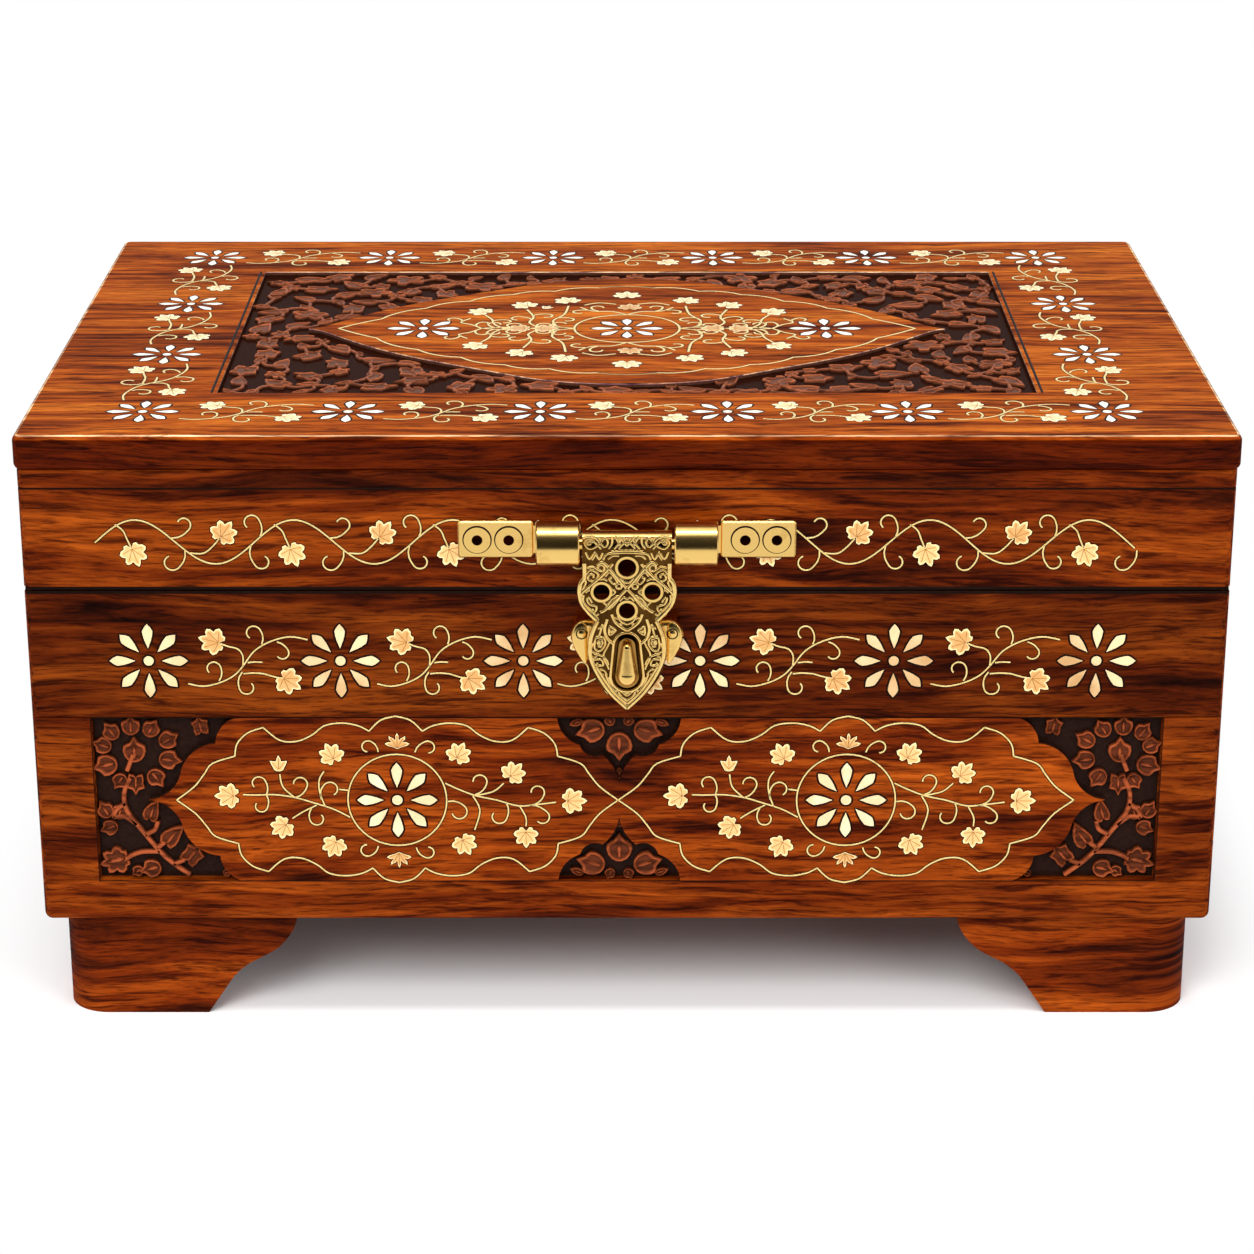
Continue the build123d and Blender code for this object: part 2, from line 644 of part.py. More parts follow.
def hasp_outline():
    """Plate of the hasp: a straight block, round shoulders, a waist, then a pointed shield."""
    shoulder_top, shoulder_low = HASP_SHOULDER_DROP
    start = (HASP_BARREL_HALF, HASP_OUTLINE_TOP)
    block_end = (HASP_BARREL_HALF, -HASP_BLOCK_DROP)
    top = (HASP_SHOULDER, -shoulder_top)
    low = (HASP_SHOULDER, -shoulder_low)
    waist = (HASP_WAIST, -HASP_WAIST_DROP)
    belly = (HASP_BELLY, -HASP_BELLY_DROP)
    tip = (0, -HASP_TIP_DROP)
    right = [
        Line(start, block_end),
        Spline(block_end, top, tangents=((0.4, -1), (0, -1))),
        Line(top, low),
        Spline(low, waist, tangents=((0, -1), (-0.8, -1))),
        Spline(waist, belly, tangents=((1, -1), (0, -1))),
        Spline(belly, tip, tangents=((0, -1), (-1, -1.05))),
    ]
    left = [mirror(line, Plane.YZ) for line in right]
    closing = Line((-HASP_BARREL_HALF, HASP_OUTLINE_TOP), start)
    return make_face([*right, *left, closing])


def slot_outline(clearance):
    """Keyhole of the hasp, or the bill's root that stands in it with this clearance all round."""
    top = Pos(0, -SLOT_TOP_DROP - SLOT_TOP_RADIUS) * Circle(SLOT_TOP_RADIUS - clearance)
    low = Pos(0, -SLOT_LOW_DROP + SLOT_LOW_RADIUS) * Circle(SLOT_LOW_RADIUS - clearance)
    return make_hull(top.edges() + low.edges())


def hasp():
    """Cast hasp: barrel round the pin, plate with four rimmed round holes, and the slot for the bill."""
    plane = front_plane(HASP_BACK_Y, HASP_PIN_Z)
    plate = extrude(plane * hasp_outline(), HASP_THICKNESS)
    half = HASP_BARREL_HALF
    barrel = rod_x(-half, half, HASP_PIN_Y, HASP_PIN_Z, HASP_BARREL_RADIUS)
    body = plate + barrel
    for x, drop, radius in HASP_HOLES:
        z = HASP_PIN_Z - drop
        body += rod_y(x, HASP_FACE_Y - HOLE_RIM_PROUD, HASP_BACK_Y, z, radius + HOLE_RIM_WIDTH)
    for x, drop, radius in HASP_HOLES:
        z = HASP_PIN_Z - drop
        body -= rod_y(x, HASP_FACE_Y - PAST, FRONT, z, radius)
    body -= extrude(plane * Pos(0, 0, -PAST) * slot_outline(0), HASP_THICKNESS + 2 * PAST)
    bore = HASP_PIN_RADIUS + HASP_PIN_CLEARANCE
    return body - rod_x(-half - PAST, half + PAST, HASP_PIN_Y, HASP_PIN_Z, bore)


def hasp_pin():
    return rod_x(-HASP_KNUCKLE_OUTER, HASP_KNUCKLE_OUTER, HASP_PIN_Y, HASP_PIN_Z, HASP_PIN_RADIUS)


def wing_plate(side):
    """A plate on the lid's front rail, with the big knuckle that holds one end of the hasp's pin."""
    ends = sorted((side * WING_INNER, side * WING_OUTER))
    front = FRONT - WING_THICKNESS
    low, high = HASP_PIN_Z - WING_HALF_HEIGHT, HASP_PIN_Z + WING_HALF_HEIGHT
    plate = block(ends[0], ends[1], front, FRONT, low, high)
    plate = fillet(plate.edges().filter_by(Axis.Y), WING_CORNER)
    plate = chamfer(plate.faces().sort_by(Axis.Y)[0].edges(), ARRIS)
    neck_ends = sorted((side * HASP_KNUCKLE_OUTER, side * (WING_INNER + ARRIS)))
    neck_low, neck_high = HASP_PIN_Z - WING_NECK_HALF_HEIGHT, HASP_PIN_Z + WING_NECK_HALF_HEIGHT
    neck = block(neck_ends[0], neck_ends[1], front + ARRIS, FRONT, neck_low, neck_high)
    span = sorted((side * HASP_KNUCKLE_INNER, side * HASP_KNUCKLE_OUTER))
    knuckle = rod_x(span[0], span[1], HASP_PIN_Y, HASP_PIN_Z, HASP_KNUCKLE_RADIUS)
    knuckle = chamfer(knuckle.edges().filter_by(GeomType.CIRCLE), HASP_KNUCKLE_EDGE)
    keep = block(span[0], span[1], FRONT - LID_DEPTH, FRONT, CASE_BOTTOM, LID_TOP)
    body = plate + neck + (knuckle & keep)
    for x in RIVET_X:
        hole = RIVET_SHANK_RADIUS + RIVET_CLEARANCE
        body -= rod_y(side * x, front - PAST, FRONT + PAST, HASP_PIN_Z, hole)
    bore = HASP_PIN_RADIUS + HINGE_PIN_CLEARANCE
    return body - rod_x(span[0] - PAST, span[1] + PAST, HASP_PIN_Y, HASP_PIN_Z, bore)


def wing_rivets():
    """Hollow rivets: a flat ring on the plate and a tube that goes into the lid's rail."""
    rivets = []
    face = FRONT - WING_THICKNESS
    for side in (-1, 1):
        for distance in RIVET_X:
            x = side * distance
            ring = rod_y(x, face - RIVET_FLANGE_HEIGHT, face, HASP_PIN_Z, RIVET_FLANGE_RADIUS)
            tube = rod_y(x, face, face + RIVET_LENGTH, HASP_PIN_Z, RIVET_SHANK_RADIUS)
            hole = rod_y(x, face - PAST, face + RIVET_LENGTH + PAST, HASP_PIN_Z, RIVET_HOLE_RADIUS)
            rivets.append(ring + tube - hole)
    return rivets


def rivet_holes():
    depth = FRONT - WING_THICKNESS + RIVET_LENGTH + RIVET_CLEARANCE
    radius = RIVET_SHANK_RADIUS + RIVET_CLEARANCE
    places = [side * x for side in (-1, 1) for x in RIVET_X]
    return [rod_y(x, FRONT - PAST, depth, HASP_PIN_Z, radius) for x in places]


def catch_outline():
    """Two round ears that run together into a round foot."""
    circles = [Pos(side * EAR_X, -EAR_DROP) * Circle(EAR_RADIUS) for side in (-1, 1)]
    circles.append(Pos(0, -CATCH_LOW_DROP) * Circle(CATCH_LOW_RADIUS))
    edges = ShapeList()
    for circle in circles:
        edges += circle.edges()
    return make_hull(edges)


def catch_plate():
    """Cast catch: thick eared plate, with the bill that passes through the hasp's slot."""
    thickness = FRONT - CATCH_FACE_Y
    plate = extrude(front_plane(FRONT, HASP_PIN_Z) * catch_outline(), thickness)
    plate = fillet(plate.faces().sort_by(Axis.Y)[0].edges(), CATCH_EDGE)
    root_plane = front_plane(CATCH_FACE_Y, HASP_PIN_Z)
    root_length = CATCH_GAP + HASP_THICKNESS + BILL_ROOT_PROUD
    root = extrude(root_plane * slot_outline(BILL_CLEARANCE), root_length, taper=BILL_TAPER)
    ridge_y = HASP_FACE_Y - RIDGE_TOP_FORWARD + RIDGE_TOP_RADIUS
    top = Vector(0, ridge_y, HASP_PIN_Z - RIDGE_TOP_DROP)
    low = Vector(0, LOBE_Y, HASP_PIN_Z - LOBE_DROP)
    along = Plane(origin=(top + low) / 2, z_dir=low - top)
    ridge = along * Cone(RIDGE_TOP_RADIUS, LOBE_RADIUS, (low - top).length)
    lobe = Pos(*low) * Sphere(LOBE_RADIUS)
    crest = Pos(*top) * Sphere(RIDGE_TOP_RADIUS)
    body = plate + root + ridge + lobe + crest
    for nail in catch_nails(SCREW_CLEARANCE):
        body -= nail
    return body


def catch_nails(clearance):
    """Two round-headed nails in the ears, or the room they need."""
    nails = []
    z = HASP_PIN_Z - NAIL_DROP
    for side in (-1, 1):
        x = side * NAIL_X
        head_y = CATCH_FACE_Y + NAIL_HEAD_SINK
        head = Pos(x, head_y, z) * Sphere(NAIL_HEAD_RADIUS + clearance)
        head = head & block(x - EAR_X, x + EAR_X, head_y - EAR_X, head_y + clearance, CASE_BOTTOM, LID_TOP)
        shank = rod_y(x, head_y, head_y + NAIL_LENGTH + clearance, z, NAIL_SHANK_RADIUS + clearance)
        nails.append(head + shank)
    return nails


# Writing each piece to its own file


def save(name, pieces):
    """Moves a piece, or a group of alike pieces, to the trunk's own origin and writes it."""
    if not isinstance(pieces, list):
        pieces = [pieces]
    solids = [solid for piece in pieces for solid in piece.solids()]
    moved = [Pos(0, -ORIGIN_Y, 0) * solid for solid in solids]
    shape = moved[0] if len(moved) == 1 else Compound(children=moved)
    shape.label = name
    export_step(shape, f"parts/{name}.step")


def save_case():
    rail_inlay = rail_flowers()
    panel_inlay = ring_flowers()
    nails = catch_nails(0)
    upper_rail = front_upper_rail(rail_inlay)
    for room in catch_nails(SCREW_CLEARANCE):
        upper_rail -= room
    save("case_front_upper_rail", upper_rail)
    save("case_front_bottom_rail", front_bottom_rail())
    save("case_front_left_stile", front_stile(-1))
    save("case_front_right_stile", front_stile(1))
    save("case_front_carved_panel", front_panel(panel_inlay))
    save("case_left_wall", case_wall("left"))
    save("case_right_wall", case_wall("right"))
    back = case_wall("back")
    for x in (-HINGE_X, HINGE_X):
        back -= hinge_mortise(x, on_lid=False)
    for room in all_hinge_screws(False, SCREW_CLEARANCE):
        back -= room
    save("case_back_wall", back)
    save("case_bottom_board", bottom_board())
    save("upper_rail_bone_flowers", rail_inlay)
    save("front_panel_bone_flowers", panel_inlay)
    save("catch_plate", catch_plate())
    save("catch_nails", nails)


def save_feet():
    for rear in (False, True):
        for right in (False, True):
            name = f"{'rear' if rear else 'front'}_{'right' if right else 'left'}_foot"
            save(name, bracket_foot(right, rear))


def save_lid():
    border_inlay = border_flowers()
    lens_inlay = lens_flowers()
    save("lid_top_board", lid_board(border_inlay + lens_inlay))
    save("lid_border_bone_flowers", border_inlay)
    save("lid_centre_bone_flowers", lens_inlay)
    for side in ("front", "back", "left", "right"):
        save(f"lid_{side}_strip", lid_strip(side))
    front_rail = lid_rail("front")
    for room in rivet_holes():
        front_rail -= room
    save("lid_front_rail", front_rail)
    save("lid_left_rail", lid_rail("left"))
    save("lid_right_rail", lid_rail("right"))
    back_rail = lid_rail("back")
    for x in (-HINGE_X, HINGE_X):
        back_rail -= hinge_mortise(x, on_lid=True)
    for room in all_hinge_screws(True, SCREW_CLEARANCE):
        back_rail -= room
    save("lid_back_rail", back_rail)


def save_hinges():
    for side, x in (("left", -HINGE_X), ("right", HINGE_X)):
        save(f"{side}_hinge_case_leaf", hinge_leaf(x, on_lid=False))
        save(f"{side}_hinge_lid_leaf", hinge_leaf(x, on_lid=True))
        save(f"{side}_hinge_pin", hinge_pin(x))
    save("hinge_case_screws", all_hinge_screws(False, 0))
    save("hinge_lid_screws", all_hinge_screws(True, 0))


def save_hasp():
    save("hasp", hasp())
    save("hasp_pin", hasp_pin())
    save("hasp_left_wing_plate", wing_plate(-1))
    save("hasp_right_wing_plate", wing_plate(1))
    save("hasp_wing_rivets", wing_rivets())


os.makedirs("parts", exist_ok=True)
save_case()
save_feet()
save_lid()
save_hinges()
save_hasp()
print("origin is at y", round(ORIGIN_Y, 4), "of the making frame")
print("hinge line y, z", round(HINGE_Y - ORIGIN_Y, 4), round(SEAM, 4))
print("hasp pin y, z", round(HASP_PIN_Y - ORIGIN_Y, 4), round(HASP_PIN_Z, 4))
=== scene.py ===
import math
import random

import bpy
from mathutils import Matrix, Vector


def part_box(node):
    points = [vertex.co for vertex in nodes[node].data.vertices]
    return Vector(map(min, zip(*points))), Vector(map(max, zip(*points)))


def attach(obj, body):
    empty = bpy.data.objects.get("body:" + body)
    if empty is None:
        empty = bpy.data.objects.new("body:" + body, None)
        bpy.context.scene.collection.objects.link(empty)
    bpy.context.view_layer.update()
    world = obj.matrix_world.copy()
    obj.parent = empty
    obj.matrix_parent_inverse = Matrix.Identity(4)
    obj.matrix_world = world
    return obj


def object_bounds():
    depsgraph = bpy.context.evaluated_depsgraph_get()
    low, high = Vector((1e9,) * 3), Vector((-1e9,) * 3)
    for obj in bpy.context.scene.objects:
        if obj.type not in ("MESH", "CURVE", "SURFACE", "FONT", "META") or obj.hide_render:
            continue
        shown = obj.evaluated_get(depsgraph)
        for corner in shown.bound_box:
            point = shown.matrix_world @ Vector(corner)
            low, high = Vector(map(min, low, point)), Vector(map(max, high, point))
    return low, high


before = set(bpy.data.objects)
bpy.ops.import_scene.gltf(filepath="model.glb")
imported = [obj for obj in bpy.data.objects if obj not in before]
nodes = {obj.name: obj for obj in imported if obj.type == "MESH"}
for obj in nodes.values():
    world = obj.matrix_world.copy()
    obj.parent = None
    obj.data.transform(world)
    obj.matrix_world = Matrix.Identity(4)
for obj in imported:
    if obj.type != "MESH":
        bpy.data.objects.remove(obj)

# A carved and inlaid keepsake trunk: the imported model's boards, feet and brass stay where they are, and
# get their finishes here. The brass wire, the inlaid leaves and the carved relief are new pieces.

MM = 0.001
cad_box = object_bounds()

SLAB_LOW, SLAB_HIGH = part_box("lid_top_board")
LID_TOP = SLAB_HIGH.z
LID_MIDDLE_Y = (SLAB_LOW.y + SLAB_HIGH.y) / 2
RAIL_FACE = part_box("lid_front_rail")[0].y
CASE_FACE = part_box("case_front_upper_rail")[0].y
PANEL_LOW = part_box("case_front_carved_panel")[0].z
PANEL_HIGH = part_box("case_front_carved_panel")[1].z
PANEL_MIDDLE = (PANEL_LOW + PANEL_HIGH) / 2
PANEL_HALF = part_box("case_front_carved_panel")[1].x
RAIL_FLOWER_Z = sum(corner.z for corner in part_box("upper_rail_bone_flowers")) / 2

# How deep the panel and the lid are carved, and half sizes of the lid's field and of its cartouche, in mm
CARVING_DEPTH = 3.0
FIELD_DEPTH = 1.4
FIELD_HALF_X = 105.75
FIELD_HALF_Y = 63.4
LENS_HALF_X = 87.5
LENS_HALF_Y = 54.5
LENS_SHAPE = ((0.0, 1.0), (0.42, 0.77), (0.72, 0.44), (0.93, 0.085), (1.0, 0.0))

# Flat pieces are drawn in millimetres and then laid on the face that they belong to
ON_LID = Matrix.Translation((0, LID_MIDDLE_Y, LID_TOP)) @ Matrix.Scale(MM, 4)
UPRIGHT = Matrix.Rotation(math.radians(90), 4, "X") @ Matrix.Scale(MM, 4)
ON_LID_FRONT = Matrix.Translation((0, RAIL_FACE, 0)) @ UPRIGHT
ON_CASE_FRONT = Matrix.Translation((0, CASE_FACE, 0)) @ UPRIGHT


# Shader nodes

def new_material(name):
    material = bpy.data.materials.new(name)
    material.use_nodes = True
    return material, material.node_tree, material.node_tree.nodes["Principled BSDF"]


def add(tree, kind, **values):
    """A shader node with its entries or settings set by name, where _ stands for a space."""
    node = tree.nodes.new("ShaderNode" + kind)
    for key, value in values.items():
        entry = key.replace("_", " ")
        if entry in node.inputs:
            node.inputs[entry].default_value = value
        else:
            setattr(node, key, value)
    return node


def feed(tree, value, entry):
    """Links an output to the entry, or sets the entry to a colour or a number."""
    if isinstance(value, bpy.types.NodeSocket):
        tree.links.new(value, entry)
    elif isinstance(value, tuple):
        entry.default_value = (*value, 1)
    else:
        entry.default_value = value


def fill(tree, node, **values):
    """Feeds several entries of a node by name, where _ stands for a space."""
    for key, value in values.items():
        feed(tree, value, node.inputs[key.replace("_", " ")])


def own_place(tree):
    return add(tree, "TexCoord").outputs["Object"]


def sides_of(tree, place):
    node = add(tree, "SeparateXYZ")
    fill(tree, node, Vector=place)
    return node.outputs


def mapped(tree, place, **values):
    node = add(tree, "Mapping", **values)
    fill(tree, node, Vector=place)
    return node.outputs["Vector"]


def noise(tree, place, scale, detail, output="Fac", **values):
    node = add(tree, "TexNoise", Scale=scale, Detail=detail, **values)
    fill(tree, node, Vector=place)
    return node.outputs[output]


def ramp(tree, grey, *stops):
    """A colour for each grey value, from stops as (place, colour)."""
    node = add(tree, "ValToRGB")
    elements = node.color_ramp.elements
    elements[0].position, elements[0].color = stops[0][0], (*stops[0][1], 1)
    elements[1].position, elements[1].color = stops[-1][0], (*stops[-1][1], 1)
    for place, colour in stops[1:-1]:
        elements.new(place).color = (*colour, 1)
    fill(tree, node, Fac=grey)
    return node.outputs[0]


def mix(tree, kind, factor, first, second):
    """Mixes two colours; factor is a number or an output."""
    node = add(tree, "Mix", data_type="RGBA", blend_type=kind)
    for entry, value in ((0, factor), (6, first), (7, second)):
        feed(tree, value, node.inputs[entry])
    return node.outputs[2]


def figure(tree, operation, *terms):
    """The result of a sum on grey values and numbers."""
    node = add(tree, "Math", operation=operation)
    for entry, term in zip(node.inputs, terms):
        feed(tree, term, entry)
    return node.outputs[0]


def share_of(tree, grey, start, end, low=0.0, high=1.0, curve="LINEAR"):
    """How far the grey value is on its way from start to end, given out from low to high."""
    node = add(tree, "MapRange", From_Min=start, From_Max=end, To_Min=low, To_Max=high,
               interpolation_type=curve)
    fill(tree, node, Value=grey)
    return node.outputs["Result"]


def roughen(tree, shader, grey, strength, distance):
    """Raises the surface by the grey value, without a change of shape."""
    node = add(tree, "Bump", Strength=strength, Distance=distance)
    fill(tree, node, Height=grey)
    fill(tree, shader, Normal=node.outputs["Normal"])


def inside_box(tree, sides, middle, half):
    """1 where the point lies in the box given by its middle and half sizes, else 0."""
    inside = 1.0
    for side, centre, reach in zip(sides, middle, half):
        away = figure(tree, "ABSOLUTE", figure(tree, "SUBTRACT", side, centre))
        inside = figure(tree, "MULTIPLY", inside, figure(tree, "LESS_THAN", away, reach))
    return inside


def toned(tones, share):
    """The same colours, all lighter or darker by this share."""
    return tuple(tuple(share * c for c in tone) for tone in tones)


# Wood finishes

GRAIN_TURNS = {"x": (0, 0, 0), "y": (0, 0, math.radians(-90)), "corner": (0, 0, 0)}
WAVINESS = (0.0, 0.012, 0.012)
# Bands, streaks and pores: how each is stretched over the board, and its detail, roughness and distortion
GRAIN_LAYERS = (((9, 95, 95), 6.0, 0.6, 0.9), ((42, 640, 640), 6.0, 0.62, 0.7),
                ((170, 2400, 2400), 3.0, 0.5, 0.0))
BAND_STOPS = (0.34, 0.47, 0.68)
STREAKS = ((0.37, (0.26, 0.19, 0.17)), (0.49, (0.90, 0.86, 0.84)), (0.66, (1.30, 1.34, 1.30)))
PORES = ((0.36, (0.42, 0.36, 0.34)), (0.46, (1.0, 1.0, 1.0)))
LACQUER_ROUGH = (0.50, 0.36)
# The lid slab's edge shading, as multipliers by depth under its top: a painted highlight on the arris,
# painted half shade on its round, painted shade on the sides
EDGE_REACH = 2 * MM
EDGE_HIGHLIGHT = (2.2, 7.0, 45.0)
EDGE_HALF_SHADE = (0.75, 0.62, 0.5)
EDGE_SHADE = (0.21, 0.11, 0.07)
SLAB_EDGE_SHADING = ((0.02, (1, 1, 1)), (0.04, EDGE_HIGHLIGHT), (0.13, EDGE_HIGHLIGHT), (0.17, EDGE_HALF_SHADE), (0.45, EDGE_HALF_SHADE),
             (0.60, EDGE_SHADE))


def along_board(tree, along, shift):
    """Object coordinates turned so that X runs along the board, or round a foot's corner."""
    place = own_place(tree)
    if along == "corner":
        x, y, z = sides_of(tree, place)
        flat = add(tree, "CombineXYZ")
        fill(tree, flat, X=figure(tree, "SUBTRACT", x, y), Z=z)
        place = flat.outputs["Vector"]
    return mapped(tree, place, Rotation=GRAIN_TURNS[along], Location=shift)


def grain_coordinates(tree, along, shift, stretch):
    """The board's own coordinates, a little wavy, then stretched along the board."""
    straight = along_board(tree, along, shift)
    bend = add(tree, "VectorMath", operation="MULTIPLY_ADD")
    feed(tree, noise(tree, straight, 9.0, 3.0, "Color"), bend.inputs[0])
    bend.inputs[1].default_value = WAVINESS
    feed(tree, straight, bend.inputs[2])
    return mapped(tree, bend.outputs[0], Scale=stretch)


def slab_edge_shading(tree, colour):
    """The lid slab's edges, by depth under its top: a painted highlight line on the arris, painted half shade
    on the round below it, then painted shade on the sides.
    """
    drop = share_of(tree, sides_of(tree, own_place(tree))["Z"], LID_TOP, LID_TOP - EDGE_REACH)
    return mix(tree, "MULTIPLY", 1.0, colour, ramp(tree, drop, *SLAB_EDGE_SHADING))


def shade_sunk_ground(tree, colour, axis, level, deepest, shade_colour, middle, half):
    """Paints shade on the cut-down ground of a carved board, darker by how far it lies under the board's
    face.
    """
    place = own_place(tree)
    sides = sides_of(tree, place)
    depth = share_of(tree, sides[axis], level, deepest)
    cut = figure(tree, "MULTIPLY", depth, inside_box(tree, sides, middle, half))
    (pale_shade,) = toned((shade_colour,), 1.7)
    shaded = ramp(tree, noise(tree, place, 900.0, 3.0), (0.3, shade_colour), (0.7, pale_shade))
    return mix(tree, "MIX", cut, colour, shaded)


def wood(name, along, shift, tones, ground_shade=None, edge=False):
    """Lacquered rosewood: broad bands, streaks and fine pores along the board."""
    material, tree, shader = new_material(name)
    bands, streaks, pores = [
        noise(tree, grain_coordinates(tree, along, shift, stretch), 1.0, detail,
              Roughness=rough, Distortion=twist)
        for stretch, detail, rough, twist in GRAIN_LAYERS]
    broad = ramp(tree, bands, *zip(BAND_STOPS, tones))
    colour = mix(tree, "MULTIPLY", 1.0, broad, ramp(tree, streaks, *STREAKS))
    colour = mix(tree, "MULTIPLY", 0.8, colour, ramp(tree, pores, *PORES))
    roughen(tree, shader, pores, 0.12, 0.0004)
    # Painted shade on a carved board's cut-down ground
    if ground_shade:
        colour = shade_sunk_ground(tree, colour, *ground_shade)
    # On the lid slab, a painted highlight on the arris and painted shade on the edges below it
    if edge:
        colour = slab_edge_shading(tree, colour)
    fill(tree, shader, Base_Color=colour, Roughness=share_of(tree, streaks, 0.0, 1.0, *LACQUER_ROUGH),
         Specular_IOR_Level=0.0, Coat_Weight=0.06, Coat_Roughness=0.16)
    return material


def carved_wood(name, low, high, bottom, top, axis):
    """Relief carving: painted shade in its recesses and a redder painted highlight on top, by height."""
    material, tree, shader = new_material(name)
    place = own_place(tree)
    height = share_of(tree, sides_of(tree, place)[axis], bottom, top)
    grain = noise(tree, mapped(tree, place, Scale=(60, 700, 700)), 1.0, 5.0, Distortion=0.4)
    half_shade = tuple(0.65 * a + 0.35 * b for a, b in zip(low, high))
    tone = ramp(tree, height, (0.0, low), (0.66, half_shade), (0.94, high))
    streak = ramp(tree, grain, (0.38, (0.45, 0.42, 0.42)), (0.58, (1.15, 1.1, 1.1)))
    fill(tree, shader, Base_Color=mix(tree, "MULTIPLY", 0.85, tone, streak), Roughness=0.42,
         Specular_IOR_Level=0.06)
    roughen(tree, shader, grain, 0.25, 0.0003)
    return material


# Inlay and metal finishes

# Dark patina of the hasp's recess, which also serves as painted shade at the bill's root, and the painted
# shade of the bill's flanks
PATINA_AND_SHADE_DARK = (0.036, 0.015, 0.003)
PATINA_AND_SHADE_LIGHT = (0.125, 0.053, 0.009)
FLANK_SHADE = (0.42, 0.22, 0.05)


def bone(name, pale, warm, cloud=130.0):
    """Polished bone: nearly even, with faint warm clouds and hair-fine canals."""
    material, tree, shader = new_material(name)
    place = own_place(tree)
    tone = ramp(tree, noise(tree, place, cloud, 3.0), (0.35, warm), (0.6, pale))
    canal = ramp(tree, noise(tree, place, 2600.0, 2.0), (0.3, (0.88, 0.82, 0.74)), (0.42, (1, 1, 1)))
    fill(tree, shader, Base_Color=mix(tree, "MULTIPLY", 0.7, tone, canal), Roughness=0.38,
         Specular_IOR_Level=0.25)
    return material


def leaf_inlay(name, rim, heart):
    """Inlaid leaf: pale at the rim and warmer at the heart, by its own attribute."""
    material, tree, shader = new_material(name)
    edge = add(tree, "Attribute", attribute_name="rim").outputs["Fac"]
    blur = figure(tree, "MULTIPLY_ADD", noise(tree, own_place(tree), 420.0, 4.0), 0.7, edge)
    fill(tree, shader, Base_Color=ramp(tree, blur, (0.30, heart), (0.95, rim)), Roughness=0.4)
    return material


def brass(name, polished, tarnish, rough=0.2, spots=300.0, share=0.42, recess=None, flank_shade=None, metal=1.0):
    """Brass with tarnish left in clouds, and fine scratches.

    A recess is a box in which it is dark: patina on the hasp's face, painted shade at the bill's root behind
    the hasp. The flank shade is a box and two levels of Y, between which the polish of what stands forward in
    the box goes over to painted shade, for the dark sides of the rounded bill's reflection.
    """
    material, tree, shader = new_material(name)
    place = own_place(tree)
    sides = sides_of(tree, place)
    clouds = noise(tree, place, spots, 5.0, Roughness=0.6)
    colour = ramp(tree, clouds, (share - 0.12, tarnish), (share + 0.06, polished))
    if recess:
        patina_and_shade = ramp(tree, clouds, (0.35, PATINA_AND_SHADE_DARK), (0.65, PATINA_AND_SHADE_LIGHT))
        colour = mix(tree, "MIX", inside_box(tree, sides, *recess), colour, patina_and_shade)
    if flank_shade:
        box, front, behind = flank_shade
        depth = share_of(tree, sides["Y"], front, behind)
        covered = figure(tree, "MULTIPLY", depth, inside_box(tree, sides, *box))
        colour = mix(tree, "MIX", covered, colour, FLANK_SHADE)
    fill(tree, shader, Base_Color=colour, Metallic=metal,
         Roughness=share_of(tree, clouds, 0.0, 1.0, rough + 0.06, rough))
    roughen(tree, shader, noise(tree, place, 3500.0, 2.0), 0.05, 0.0001)
    return material


def filler(name, colour, rough):
    """A dark filler with a faint unevenness."""
    material, tree, shader = new_material(name)
    (darker,) = toned((colour,), 0.7)
    tone = ramp(tree, noise(tree, own_place(tree), 700.0, 3.0), (0.3, darker), (0.7, colour))
    fill(tree, shader, Base_Color=tone, Roughness=rough, Specular_IOR_Level=0.04)
    return material


# The finishes of this trunk

FRONT_TONES = ((0.030, 0.0035, 0.0006), (0.165, 0.0205, 0.0014), (0.43, 0.080, 0.006))
TOP_TONES = ((0.085, 0.011, 0.001), (0.315, 0.057, 0.0045), (0.56, 0.145, 0.013))
# Colours of the painted shade on the cut-down ground of the lid's field and of the front panel
LID_GROUND_SHADE = (0.072, 0.033, 0.024)
PANEL_GROUND_SHADE = (0.012, 0.0048, 0.0032)
# The painted shade on the cut-down ground starts this far under a board's face and is full at the second
# depth
SHADE_DEPTHS = (0.2 * MM, 0.6 * MM)
SHADE_EDGE = 0.1 * MM

starts, full = SHADE_DEPTHS
lid_ground_shade = ("Z", LID_TOP - starts, LID_TOP - full, LID_GROUND_SHADE, (0, LID_MIDDLE_Y, LID_TOP),
              (FIELD_HALF_X * MM + SHADE_EDGE, FIELD_HALF_Y * MM + SHADE_EDGE, FIELD_DEPTH * MM + starts))
panel_ground_shade = ("Y", CASE_FACE + starts, CASE_FACE + full, PANEL_GROUND_SHADE, (0, CASE_FACE, PANEL_MIDDLE),
                (PANEL_HALF - SHADE_EDGE, CARVING_DEPTH * MM + starts,
                 PANEL_HIGH - PANEL_MIDDLE - SHADE_EDGE))

